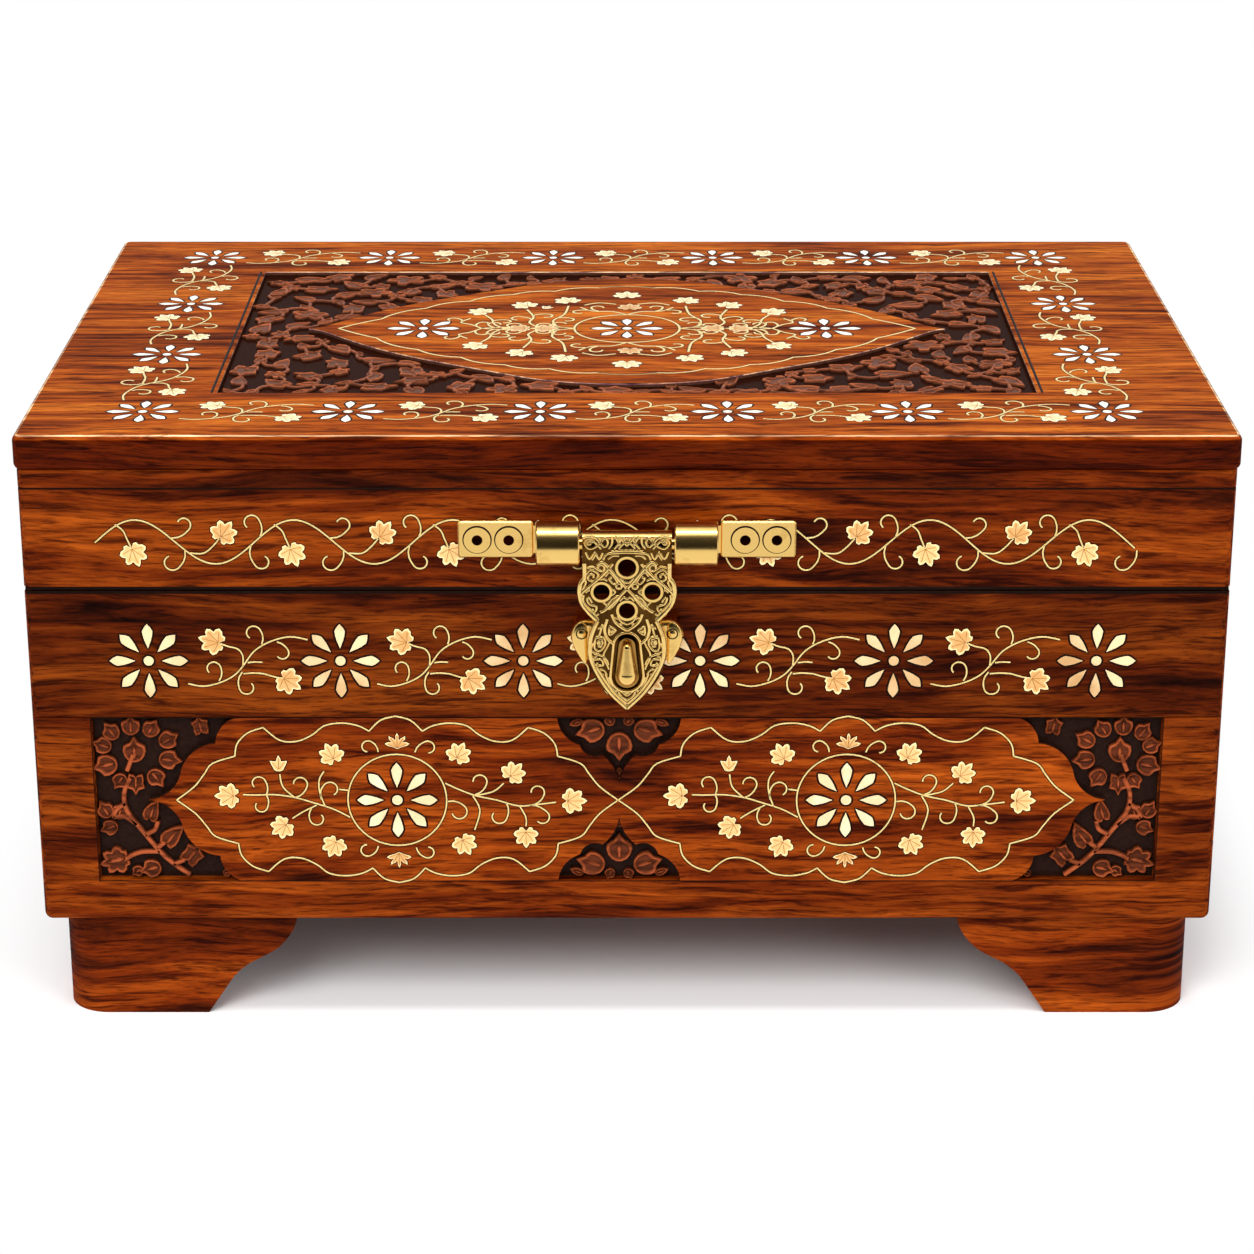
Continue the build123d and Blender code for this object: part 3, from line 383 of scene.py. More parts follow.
# Each board's grain direction, the place its grain is cut from, and its tone
FRONT_WOODS = {
    "lid_front": ("x", (0.9, 0.5, 0.2), 0.66),
    "upper_rail": ("x", (0.1, 0.8, 0.6), 0.42),
    "bottom_rail": ("x", (0.6, 0.4, 0.7), 0.72),
    "sides": ("y", (0.7, 0.3, 0.8), 0.74),
    "back": ("x", (0.8, 0.7, 0.5), 0.74),
    "feet": ("corner", (0.2, 0.6, 0.3), 0.92),
    "stiles": ("x", (1.4, 0.35, 0.62), 0.56),
}
woods = {board: wood("rosewood_" + board, along, shift, toned(FRONT_TONES, share))
         for board, (along, shift, share) in FRONT_WOODS.items()}
woods["top"] = wood("rosewood_lid_top", "x", (0.3, 0.1, 0.9), TOP_TONES, lid_ground_shade, True)
woods["panel"] = wood("rosewood_panel", "x", (0.5, 0.2, 0.4), toned(FRONT_TONES, 0.82), panel_ground_shade)
# The carvings' colours run from painted shade at their foot to a painted highlight on top
carving_lid = carved_wood("carved_rosewood_lid", (0.034, 0.013, 0.008), (0.36, 0.098, 0.036),
                          LID_TOP - FIELD_DEPTH * MM, LID_TOP - 0.48 * MM, "Z")
carving_case = carved_wood("carved_rosewood_case", (0.020, 0.005, 0.0025), (0.30, 0.066, 0.020),
                           CASE_FACE + CARVING_DEPTH * MM, CASE_FACE + 1.15 * MM, "Y")
bone_lid = bone("polished_bone_lid", (0.92, 0.91, 0.84), (0.86, 0.78, 0.62))
bone_panel = bone("polished_bone_panel", (0.85, 0.70, 0.45), (0.76, 0.55, 0.30))
bone_rail = bone("polished_bone_rail", (0.80, 0.60, 0.33), (0.50, 0.28, 0.11), 55.0)
leaf_pale = leaf_inlay("pale_leaf_inlay", (0.92, 0.82, 0.52), (0.87, 0.68, 0.36))
leaf_cream = leaf_inlay("cream_leaf_inlay", (0.86, 0.64, 0.31), (0.74, 0.43, 0.15))
leaf_gold = leaf_inlay("gold_leaf_inlay", (0.85, 0.63, 0.30), (0.60, 0.30, 0.085))
vein = filler("leaf_vein_brown", (0.42, 0.19, 0.05), 0.6)
# The dark filler also serves as painted shade along the lid's seam and round the rivet flanges and the
# catch's nails
dark_filler_and_shade = filler("inlay_mastic_and_painted_shade", (0.012, 0.004, 0.002), 0.5)

# The hasp's face is dark with patina between its relief; the bill gets painted shade at its root behind the
# hasp, and on its flanks a painted shade for the dark sides of its reflection
HASP_FACE = -103.05
BILL_MIDDLE_Z = 103.5


def box_in_metres(middle, half):
    return toned((middle, half), MM)


hasp_face = box_in_metres((0, HASP_FACE - 0.11, 106.0), (1000.0, 0.17, 30.0))
bill_root_shade = box_in_metres((0, HASP_FACE + 2.3, BILL_MIDDLE_Z), (4.4, 2.2, 8.5))
bill_flank_shade = (box_in_metres((0, -105.5, BILL_MIDDLE_Z), (3.6, 2.4, 8.5)), -106.75 * MM, -105.5 * MM)
BRASS = (0.93, 0.61, 0.19)
TARNISH = (0.72, 0.42, 0.11)
CAST = {"spots": 160.0, "share": 0.36}
wire_brass = brass("inlaid_brass_wire", (0.96, 0.72, 0.29), (0.78, 0.50, 0.15), 0.34, 900.0, metal=0.55)
cast_brass = brass("aged_brass_cast", BRASS, TARNISH, **CAST)
hasp_brass = brass("aged_brass_hasp", BRASS, TARNISH, recess=hasp_face, **CAST)
catch_brass = brass("aged_brass_catch_painted_shade", BRASS, (0.65, 0.37, 0.09), recess=bill_root_shade, flank_shade=bill_flank_shade,
                    **CAST)
relief_brass = brass("polished_brass_relief", (0.98, 0.68, 0.24), (0.82, 0.51, 0.15))
pin_steel = brass("steel_pin_dull", (0.42, 0.40, 0.37), (0.22, 0.19, 0.16), 0.35)

FINISHES = {
    "hasp": hasp_brass,
    "catch_plate": catch_brass,
    "lid_top_board": woods["top"],
    "case_front_carved_panel": woods["panel"],
    "case_front_upper_rail": woods["upper_rail"],
    "case_front_bottom_rail": woods["bottom_rail"],
    "case_front_left_stile": woods["stiles"],
    "case_front_right_stile": woods["stiles"],
    "lid_border_bone_flowers": bone_lid,
    "lid_centre_bone_flowers": bone_lid,
    "front_panel_bone_flowers": bone_panel,
    "upper_rail_bone_flowers": bone_rail,
}
# The first row that holds a word of a node's name gives its finish, unless it is in the list above
FINISH_BY_WORD = (
    (("foot",), woods["feet"]),
    (("hinge_pin",), pin_steel),
    (("hasp", "catch", "hinge", "screws"), cast_brass),
    (("left_wall", "right_wall", "left_rail", "right_rail", "left_strip", "right_strip"), woods["sides"]),
    (("lid",), woods["lid_front"]),
    (("",), woods["back"]),
)


def finish_of(name):
    by_word = (finish for words, finish in FINISH_BY_WORD if any(word in name for word in words))
    return FINISHES.get(name) or next(by_word)


for name, node in nodes.items():
    node.data.materials.clear()
    node.data.materials.append(finish_of(name))


# Drawing on a flat face, in millimetres

def smooth(points, steps=4):
    """A smooth line through the points."""
    ends = [points[0], *points, points[-1]]
    line = []
    for before, first, second, after in zip(ends, ends[1:], ends[2:], ends[3:]):
        for step in range(steps):
            t = step / steps
            line.append(tuple(
                0.5 * (2 * b + (c - a) * t + (2 * a - 5 * b + 4 * c - d) * t * t
                       + (3 * b - a - 3 * c + d) * t ** 3)
                for a, b, c, d in zip(before, first, second, after)))
    line.append(tuple(points[-1]))
    return line


CURL_STEPS = 16
CURL_NARROWS = 0.22
CURL_SETTLES = 3.5


def curl(start, centre, radius, sweep):
    """A tendril that leaves the vine at start and winds round centre; a positive sweep turns left."""
    reach = math.dist(start, centre)
    heading = math.atan2(start[1] - centre[1], start[0] - centre[0])
    line = []
    for step in range(CURL_STEPS + 1):
        share = step / CURL_STEPS
        away = radius * (1 - CURL_NARROWS * share) + (reach - radius) * max(0, 1 - CURL_SETTLES * share) ** 2
        angle = heading + math.radians(sweep) * share
        line.append((centre[0] + away * math.cos(angle), centre[1] + away * math.sin(angle)))
    return line


def ring(x, y, radius, count=48):
    turns = [2 * math.pi * step / count for step in range(count + 1)]
    return [(x + radius * math.cos(turn), y + radius * math.sin(turn)) for turn in turns]


def moved(line, x, y, turn=0, stretch=1, flip=1):
    """The line stretched along x, mirrored if flip is -1, turned, then moved to x, y."""
    c, s = math.cos(math.radians(turn)), math.sin(math.radians(turn))
    return [(x + c * u * stretch - s * v * flip, y + s * u * stretch + c * v * flip) for u, v in line]


def mirrored(lines):
    return lines + [moved(line, 0, 0, 0, -1) for line in lines]


QUARTERS = ((1, 1), (1, -1), (-1, 1), (-1, -1))
SAME_SPOT = 1e-6


# Outlines as (degrees, radius) from a leaf's middle, with its tip up at 90 degrees
VINE_LEAF = (
    (90, 1.1), (80, 0.93), (68, 0.7), (58, 0.88), (46, 1), (34, 0.9), (21, 0.66), (9, 0.84), (-4, 0.93),
    (-20, 0.82), (-35, 0.63), (-50, 0.72), (-68, 0.62), (-90, 0.26),
)
BUD_LEAF = (
    (90, 1), (78, 0.72), (66, 0.5), (52, 0.6), (36, 0.86), (18, 0.62), (-8, 0.46), (-40, 0.46), (-68, 0.42),
    (-90, 0.4),
)
PALMETTE = (
    (90, 1), (82, 0.8), (72, 0.42), (62, 0.66), (50, 0.98), (40, 0.8), (32, 0.46), (22, 0.72), (8, 0.95),
    (-2, 0.74), (-24, 0.36), (-90, 0.3),
)
IVY_LEAF = (
    (90, 1), (66, 0.66), (48, 0.72), (28, 0.95), (8, 0.7), (-16, 0.78), (-40, 0.84), (-66, 0.52),
    (-90, 0.3),
)
HEART_LEAF = (
    (90, 1.1), (68, 0.8), (44, 0.66), (16, 0.64), (-14, 0.68), (-46, 0.66), (-70, 0.48), (-90, 0.26),
)
PETAL_LEAF = ((90, 1.0), (66, 0.72), (42, 0.54), (12, 0.44), (-20, 0.40), (-52, 0.42), (-90, 0.46))
ROUND_PETAL = (
    (90, 1.14), (80, 0.95), (66, 0.8), (52, 0.84), (36, 0.92), (18, 0.84), (-6, 0.7), (-34, 0.58),
    (-64, 0.5), (-90, 0.48),
)
BLOSSOM = ((90, 0.95), (76, 0.88), (54, 0.5), (32, 0.88), (18, 0.95), (4, 0.88), (-18, 0.5), (-40, 0.88),
           (-54, 0.95), (-68, 0.88), (-90, 0.5))
VEIN_ENDS = {"vine": ((90, 0.80), (47, 0.76), (133, 0.76), (-7, 0.68), (187, 0.68)),
             "bud": ((90, 0.76), (38, 0.62), (142, 0.62)),
             "palmette": ((90, 0.80), (52, 0.76), (128, 0.76), (10, 0.72), (170, 0.72))}


def outline(half):
    """The whole outline from its right half, top to bottom, as points."""
    whole = list(half) + [(180 - degrees, radius) for degrees, radius in reversed(half[1:-1])]
    return [(radius * math.cos(math.radians(degrees)), radius * math.sin(math.radians(degrees)))
            for degrees, radius in whole]


def shaped_disc(name, points, bottom, top):
    """A disc with the outline's shape, raised from bottom to top; its top face stays selected."""
    bpy.ops.object.select_all(action="DESELECT")
    bpy.ops.mesh.primitive_circle_add(vertices=len(points), radius=1, fill_type="NGON", location=(0, 0, 0))
    disc = bpy.context.object
    disc.name = name
    for vertex, (x, y) in zip(disc.data.vertices, points):
        vertex.co = (x, y, bottom)
    bpy.ops.object.mode_set(mode="EDIT")
    bpy.ops.mesh.select_all(action="SELECT")
    bpy.ops.mesh.extrude_region_move(TRANSFORM_OT_translate={"value": (0, 0, top - bottom)})
    return disc


def ring_inwards(size, rise, across=None):
    """Extrudes the selected face and draws it in towards the leaf's middle, or across it by another size."""
    bpy.ops.mesh.extrude_region_move(TRANSFORM_OT_translate={"value": (0, 0, rise)})
    bpy.ops.transform.resize(value=(across or size, size, 1), center_override=(0, 0, 0))


def close_up():
    """Ends edit mode on a shell whose faces all point outwards."""
    bpy.ops.mesh.select_all(action="SELECT")
    bpy.ops.mesh.normals_make_consistent(inside=False)
    bpy.ops.object.mode_set(mode="OBJECT")


# An inlaid leaf: how deep it is let in, how far it stands out, its rings inwards, and its tone at each
INLAY_SUNK, INLAY_PROUD = -0.3, 0.06
INLAY_RINGS = ((0.97, 0.04), (0.95, 0), (0.86, 0))
RIM_BY_RING = (1, 1, 1, 0.7, 0.0)


def inlay_template(name, half):
    """A thin inlaid leaf. Its attribute is 1 at the rim and 0 in the heart."""
    points = outline(half)
    leaf = shaped_disc(name, points, INLAY_SUNK, INLAY_PROUD)
    for size, rise in INLAY_RINGS:
        ring_inwards(size, rise)
    close_up()
    rim = leaf.data.attributes.new("rim", "FLOAT", "POINT")
    for vertex in leaf.data.vertices:
        rim.data[vertex.index].value = RIM_BY_RING[vertex.index // len(points)]
    return leaf


# A carved leaf's length, the height at which it swings to neither side, how deep it stands in the ground, its
# wall as a share of its height, the rounding of its rim, and its rib's two rings with how much of the hollow
# each one fills
LEAF_LENGTH = 1.15
SWING_MIDDLE = 0.3
LEAF_FOOT = 0.05
WALL_SHARE = 0.7
RIM_RINGS = ((0.93, 0.24), (0.95, 0.06))
RIB_RINGS = ((0.84, 0, 0.36), (0.9, 0.8, 0.3))
SOFT_EDGE = math.radians(40)


def relief_template(name, half, depth, height, rim, sink, ribbed, swing, slim):
    """A carved leaf that stands on the ground: a raised rim round a hollow, and a rib if it is ribbed."""
    points = [(x * slim + swing * (y * y - SWING_MIDDLE), y * LEAF_LENGTH) for x, y in outline(half)]
    leaf = shaped_disc(name, points, -depth - LEAF_FOOT, height * WALL_SHARE - depth)
    for size, rise in RIM_RINGS:
        ring_inwards(size, height * rise)
    ring_inwards(rim, -sink * height)
    if ribbed:
        for size, filled, across in RIB_RINGS:
            ring_inwards(size, sink * height * filled, across)
    close_up()
    bpy.ops.object.shade_smooth_by_angle(angle=SOFT_EDGE)
    return leaf


def seat(piece, place, body, material):
    """Lays a piece drawn in millimetres on its face, gives it its finish and lets it ride on its body."""
    piece.data.transform(place)
    piece.data.materials.clear()
    piece.data.materials.append(material)
    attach(piece, body)


def copies(name, placings, templates, place, body, material):
    """Lays copies of the templates by (kind, x, y, tip direction, size, any lean), as one piece."""
    made = []
    for kind, x, y, turn, size, *tilt in placings:
        leaf = templates[kind].copy()
        leaf.data = templates[kind].data.copy()
        bpy.context.collection.objects.link(leaf)
        lean = Matrix.Rotation(math.radians(tilt[0]), 4, "X") if tilt else Matrix.Identity(4)
        spin = Matrix.Rotation(math.radians(turn - 90), 4, "Z")
        swell = Matrix.Diagonal((size, size, 1, 1))
        leaf.data.transform(Matrix.Translation((x, y, 0)) @ spin @ lean @ swell)
        made.append(leaf)
    bpy.ops.object.select_all(action="DESELECT")
    for leaf in made:
        leaf.select_set(True)
    bpy.context.view_layer.objects.active = made[0]
    bpy.ops.object.join()
    bpy.context.object.name = name
    seat(bpy.context.object, place, body, material)


def drawn_lines(name, lines, place, body, material, width, height, lift=0.0, sides=1):
    """Wire bent along the lines, as one piece: this wide, and this high above and below its middle."""
    bpy.ops.object.select_all(action="DESELECT")
    bpy.ops.curve.primitive_bezier_curve_add(location=(0, 0, 0))
    wire = bpy.context.object
    wire.name = name
    curve = wire.data
    curve.splines.clear()
    curve.dimensions = "3D"
    for line in lines:
        spline = curve.splines.new("POLY")
        closed = math.dist(line[0], line[-1]) < SAME_SPOT
        points = line[:-1] if closed else line
        spline.points.add(len(points) - 1)
        for point, (x, y) in zip(spline.points, points):
            point.co = (x, y, 0, 1)
        spline.use_cyclic_u = closed
    curve.bevel_depth = width / 2
    curve.bevel_resolution = sides
    curve.use_fill_caps = True
    bpy.ops.object.convert(target="MESH")
    bpy.ops.object.shade_smooth()
    press = Matrix.Translation((0, 0, lift)) @ Matrix.Diagonal((1, 1, 2 * height / width, 1))
    seat(bpy.context.object, place @ press, body, material)


def dark_lines(name, lines, place, body, width, height=0.03, lift=0.0):
    """Flat dark lines in the face, in the dark filler: filled grooves and joints, and painted shade round
    raised parts.
    """
    drawn_lines(name, lines, place, body, dark_filler_and_shade, width, height, lift, 0)


VEIN_START = -0.22


def leaf_lines(kind, half, placings):
    """Outlines and veins of the placed leaves, for their dark surround and their veins."""
    surround, veins = [], []
    shape = outline(half)
    shape.append(shape[0])
    for placed, x, y, turn, size in placings:
        if placed != kind:
            continue
        surround.append(moved([(u * size, v * size) for u, v in shape], x, y, turn - 90))
        for degrees, reach in VEIN_ENDS[kind]:
            angle = math.radians(degrees)
            end = (size * reach * math.cos(angle), size * reach * math.sin(angle))
            veins.append(moved([(0, VEIN_START * size), end], x, y, turn - 90))
    return surround, veins


# A face lies in the surface if it is this near to it and points this straight out of it
NEAR_SURFACE = 0.02
STRAIGHT_OUT = 0.99


def petal_outlines(node_name, place):
    """The outlines of a bone node's faces that lie in the surface, in the face's own millimetres."""
    copy = nodes[node_name].data.copy()
    holder = bpy.data.objects.new("bone_outline", copy)
    bpy.context.collection.objects.link(holder)
    bpy.ops.object.select_all(action="DESELECT")
    holder.select_set(True)
    bpy.context.view_layer.objects.active = holder
    bpy.ops.object.mode_set(mode="EDIT")
    bpy.ops.mesh.select_all(action="SELECT")
    bpy.ops.mesh.remove_doubles(threshold=SAME_SPOT)
    bpy.ops.object.mode_set(mode="OBJECT")
    to_face = place.inverted()
    turn_in = to_face.to_3x3().normalized()
    spots = [to_face @ vertex.co for vertex in copy.vertices]
    uses = {}
    for face in copy.polygons:
        if (turn_in @ face.normal).z > STRAIGHT_OUT and abs(spots[face.vertices[0]].z) < NEAR_SURFACE:
            for edge in face.edge_keys:
                uses[edge] = uses.get(edge, 0) + 1
    links = {}
    for (first, second), count in uses.items():
        if count == 1:
            links.setdefault(first, []).append(second)
            links.setdefault(second, []).append(first)
    loops = []
    while links:
        start = next(iter(links))
        loop, here = [start], start
        while links.get(here):
            onward = links[here].pop()
            links[onward].remove(here)
            if not links[here]:
                del links[here]
            here = onward
            loop.append(here)
            if here == start:
                break
        if not links.get(here):
            links.pop(here, None)
        loops.append([(spots[index].x, spots[index].y) for index in loop])
    bpy.data.objects.remove(holder)
    return [loop for loop in loops if len(loop) > 3]


# A bay of the border: vine, tendrils and two leaves between two flowers, from the left flower's middle

BAY_LENGTH = 48.6
BAY_VINE = (
    (9.3, -6.2), (13.1, -6.9), (17.4, -5.9), (21, -4), (23.5, -1.3), (26.5, 2.7), (30.8, 5.3), (35.7, 6.5),
    (40.1, 5.7),
)
BAY_LINES = (((23.5, -3.5), (25.9, -3.3), (28.7, -3.5)), ((24.7, -0.5), (26.5, -0.3), (28.4, -0.4)),
             ((23.4, -1.5), (23.5, 1.3), (22.3, 3.2), (19.8, 3.9), (17.9, 4.7)),
             ((28.7, -3.5), (30.2, -4), (32, -4.5), (33.4, -4.7)))
BAY_CURLS = (((17.2, -5.4), (15.9, -2.1), 2, 290), ((28.4, 4.5), (26.4, 7.5), 2.1, 290),
             ((32.3, 5.1), (33.5, 2.1), 1.9, -255), ((23.2, -3), (24.2, -7.2), 2.1, 300))
BAY_LEAVES = (("vine", 16.6, 5.2, 165, 4.0), ("vine", 34.4, -5.2, -35, 4.0))


def bay(drawing, x, y, length, turn, flip=1, tone="leaves"):
    """Draws one bay from x, y along the direction turn, fitted to its length."""
    stretch = length / BAY_LENGTH
    lines = [smooth(BAY_VINE)] + [smooth(line, 3) for line in BAY_LINES]
    lines += [curl(*values) for values in BAY_CURLS]
    drawing["wire"] += [moved(line, x, y, turn, stretch, flip) for line in lines]
    for kind, u, v, tip, size in BAY_LEAVES:
        (px, py), = moved([(u, v)], x, y, turn, stretch, flip)
        drawing[tone].append((kind, px, py, turn + flip * tip, size))


def new_drawing():
    return {"wire": [], "leaves": [], "gold": []}


LEAF_HALVES = {"vine": VINE_LEAF, "bud": BUD_LEAF, "palmette": PALMETTE}
inlay_templates = {kind: inlay_template("inlay_" + kind, half) for kind, half in LEAF_HALVES.items()}
WIRE = 0.46
GROOVE_WIDER = 0.36


def lay_drawing(prefix, drawing, place, body, pale, extra_outlines=(), proud=1.0, width=WIRE):
    """Makes a drawing's wire, leaves, veins and dark surround. Proud scales how far they stand out."""
    place = place @ Matrix.Diagonal((1, 1, proud, 1))
    drawn_lines(prefix + "_brass_wire", drawing["wire"], place, body, wire_brass, width, 0.09)
    surround = list(extra_outlines)
    veins = []
    for tone, material in (("leaves", pale), ("gold", leaf_gold)):
        if drawing[tone]:
            copies(prefix + "_" + tone, drawing[tone], inlay_templates, place, body, material)
        for kind, half in LEAF_HALVES.items():
            around, inner = leaf_lines(kind, half, drawing[tone])
            surround += around
            veins += inner
    if veins:
        drawn_lines(prefix + "_leaf_veins", veins, place, body, vein, 0.17, 0.02, 0.10, 0)
    dark_lines(prefix + "_wire_grooves", drawing["wire"], place, body, width + GROOVE_WIDER)
    dark_lines(prefix + "_inlay_surround", surround, place, body, 0.52, 0.035)


# Border of the lid: flowers in two rows and two columns, with a bay between each two

border = new_drawing()
SLAB_HALF = SLAB_HIGH.x / MM
BORDER_ROW = [share * SLAB_HALF for share in (-0.804, -0.463, -0.144, 0.167, 0.466, 0.797)]
BORDER_ROW_Y = 80.2
BORDER_COLUMN = (-80.2, -26.5, 26.5, 80.2)
for y in (-BORDER_ROW_Y, BORDER_ROW_Y):
    for first, second in zip(BORDER_ROW, BORDER_ROW[1:]):
        bay(border, first, y, second - first, 0)
for x, flip in ((BORDER_ROW[0], -1), (BORDER_ROW[-1], 1)):
    for first, second in zip(BORDER_COLUMN, BORDER_COLUMN[1:]):
        bay(border, x, first, second - first, 90, flip)

# Cartouche in the middle of the lid: scalloped outline, ring, scrolls and a wreath of leaves

lens = new_drawing()


def lens_height(share):
    """How high the cartouche reaches, as a share, at this share of its half length."""
    for (x1, y1), (x2, y2) in zip(LENS_SHAPE, LENS_SHAPE[1:]):
        if share <= x2:
            return y1 + (y2 - y1) * (share - x1) / (x2 - x1)
    return 0.0


# The outline's half sizes and fullness, where its scallops end as shares of its half length, and their rise
OUTLINE_HALF = (79.3, 47.0)
OUTLINE_FULLNESS = 0.97
SCALLOP_ENDS = (1.0, 0.86, 0.71, 0.56, 0.41, 0.26, 0.10)
LAST_END_X = -7.9
SCALLOP_STEPS = (0, 0.17, 0.33, 0.5, 0.67, 0.83)
TIP_RISE, SCALLOP_RISE = 0.4, 1.7

quarter = []
ends = [(OUTLINE_HALF[0] * share, OUTLINE_HALF[1] * lens_height(share) ** OUTLINE_FULLNESS)
        for share in SCALLOP_ENDS]
ends.append((LAST_END_X, ends[-1][1]))
for (x1, y1), (x2, y2) in zip(ends, ends[1:]):
    lift = TIP_RISE if x1 == ends[0][0] else SCALLOP_RISE
    length = math.dist((x1, y1), (x2, y2))
    out = ((y1 - y2) / length, -(x1 - x2) / length)
    out = (-out[0], -out[1]) if out[1] < 0 else out
    quarter += [(x1 + (x2 - x1) * t + out[0] * lift * 4 * t * (1 - t),
                 y1 + (y2 - y1) * t + out[1] * lift * 4 * t * (1 - t)) for t in SCALLOP_STEPS]
quarter.append(ends[-1])
for sx, sy in QUARTERS:
    lens["wire"].append([(sx * x, sy * y) for x, y in quarter])
LENS_RING = 14.5
lens["wire"].append(ring(0, 0, LENS_RING))
LENS_STEMS = (
    ((14.5, 0), (20, 1.4), (27, 0), (34, -1.2), (40, 0)), ((24, 0.6), (27, 6), (26, 12), (28, 20)),
    ((33, -1), (36.5, 4), (37.5, 9.5), (39.5, 14)), ((19, 1.2), (20.5, 8), (17.5, 15), (16.5, 24)),
    ((40, 0), (43, 4), (46, 6.5), (43.5, 10.5)), ((0, 14.5), (4, 18), (9.5, 18.5), (13, 22.5)),
    ((3, 26), (8, 27.5), (12, 25)),
)
LENS_CURLS = (
    ((17, 0.9), (18.5, 4.6), 2.2, 280), ((22.5, 0.9), (22.8, -3.4), 2.2, -290),
    ((29, -0.4), (31, 3.4), 2.3, 285), ((36, -0.8), (36.5, -4.4), 2, -290),
    ((26.5, 9.5), (30.2, 10.5), 2.2, -280), ((26.3, 13.5), (22.6, 13.4), 2.1, 290),
    ((19.5, 11), (16.4, 9.3), 1.9, 270), ((37.2, 8), (33.8, 7.4), 1.8, 280),
    ((8, 18.5), (8.2, 22.3), 2, 280), ((10.5, 19.5), (13.4, 17.5), 1.9, -270),
    ((41.5, 2.4), (39.6, 5.2), 1.6, 260), ((45.6, 7.4), (48.2, 9.4), 1.8, -270),
)
LENS_LEAVES = ((40.5, 17.5), (28.5, 24.5), (16.7, 29.5))
LENS_TIPS_UP = 1.6
LENS_GOLD_PAIRS = (-26.0, 27.4)
scrolls = [smooth(stem) for stem in LENS_STEMS] + [curl(*values) for values in LENS_CURLS]
for sx, sy in QUARTERS:
    lens["wire"] += [[(sx * x, sy * y) for x, y in scroll] for scroll in scrolls]
for x, y in LENS_LEAVES:
    for sx, sy in QUARTERS:
        tip = math.degrees(math.atan2(sy * y * LENS_TIPS_UP, sx * x))
        lens["leaves"].append(("vine", sx * x, sy * y, tip, 4.2))
for sy in (1, -1):
    lens["leaves"].append(("vine", 0, sy * 35.5, sy * 90, 4.4))
    lens["gold"].append(("vine", 0.8, sy * 22.3, sy * 90, 3.8))
for x in LENS_GOLD_PAIRS:
    lens["gold"] += [("vine", x - 3.0, 0, 180, 4.0), ("vine", x + 3.0, 0, 0, 4.0)]
lens["leaves"].append(("bud", -22.8, 22.0, 60, 2.6))

# Front of the lid: one vine in waves behind the hardware

front_vine = new_drawing()
WAVE = 39.7
WAVE_MIDDLE_Z = 132.6
WAVE_HEIGHT = 5.8
FIRST_CREST = -122.9
CRESTS = 7
VINE_START, VINE_END = -133.0, 127.5
VINE_STEP = 1.3
LAST_SPRAY = 126.0
GOLD_STEM = ((13.5, -2.9), (16.8, -3.0), (19.2, -1.2), (21.0, 0.9))
GOLD_STEM_END = 19.8
PALE_STEM = ((-4.9, 4.6), (-3.0, 3.0), (-2.1, 0.8), (-1.2, -1.4))
vine_line = []
x = VINE_START
while x < VINE_END:
    vine_line.append((x, WAVE_MIDDLE_Z + WAVE_HEIGHT * math.cos(2 * math.pi * (x - FIRST_CREST) / WAVE)))
    x += VINE_STEP
front_vine["wire"].append(vine_line)
WAVE_CURLS = (((8.9, 1), (12.2, 4.6), 2, 285), ((12.3, -2.2), (8.9, -5.4), 2.3, -290),
              ((31.2, 1.3), (29.2, 5.1), 2.2, 290), ((28.8, -0.9), (31.4, -5.2), 2.1, 300))
for crest in range(CRESTS):
    at = FIRST_CREST + WAVE * crest
    growth = [curl(*values) for values in WAVE_CURLS if at + values[1][0] < LAST_SPRAY]
    if at + GOLD_STEM_END < LAST_SPRAY:
        growth.append(smooth(GOLD_STEM))
        front_vine["gold"].append(("vine", at + 21.9, WAVE_MIDDLE_Z + 2.0, 55, 3.8))
    growth.append(smooth(PALE_STEM))
    front_vine["wire"] += [moved(line, at, WAVE_MIDDLE_Z) for line in growth]
    front_vine["leaves"].append(("vine", at - 0.7, WAVE_MIDDLE_Z - 2.6, -70, 3.8))

# Upper rail of the case

rail = new_drawing()
CASE_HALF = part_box("case_front_upper_rail")[1].x / MM
RAIL_FLOWERS = [share * CASE_HALF for share in (-0.798, -0.478, -0.173, 0.122, 0.445, 0.783)]
for first, second in zip(RAIL_FLOWERS, RAIL_FLOWERS[1:]):
    bay(rail, first, RAIL_FLOWER_Z / MM, second - first, 0, tone="gold")

# Front panel: two scalloped cartouches that meet in the middle, each with a ring and two sprays

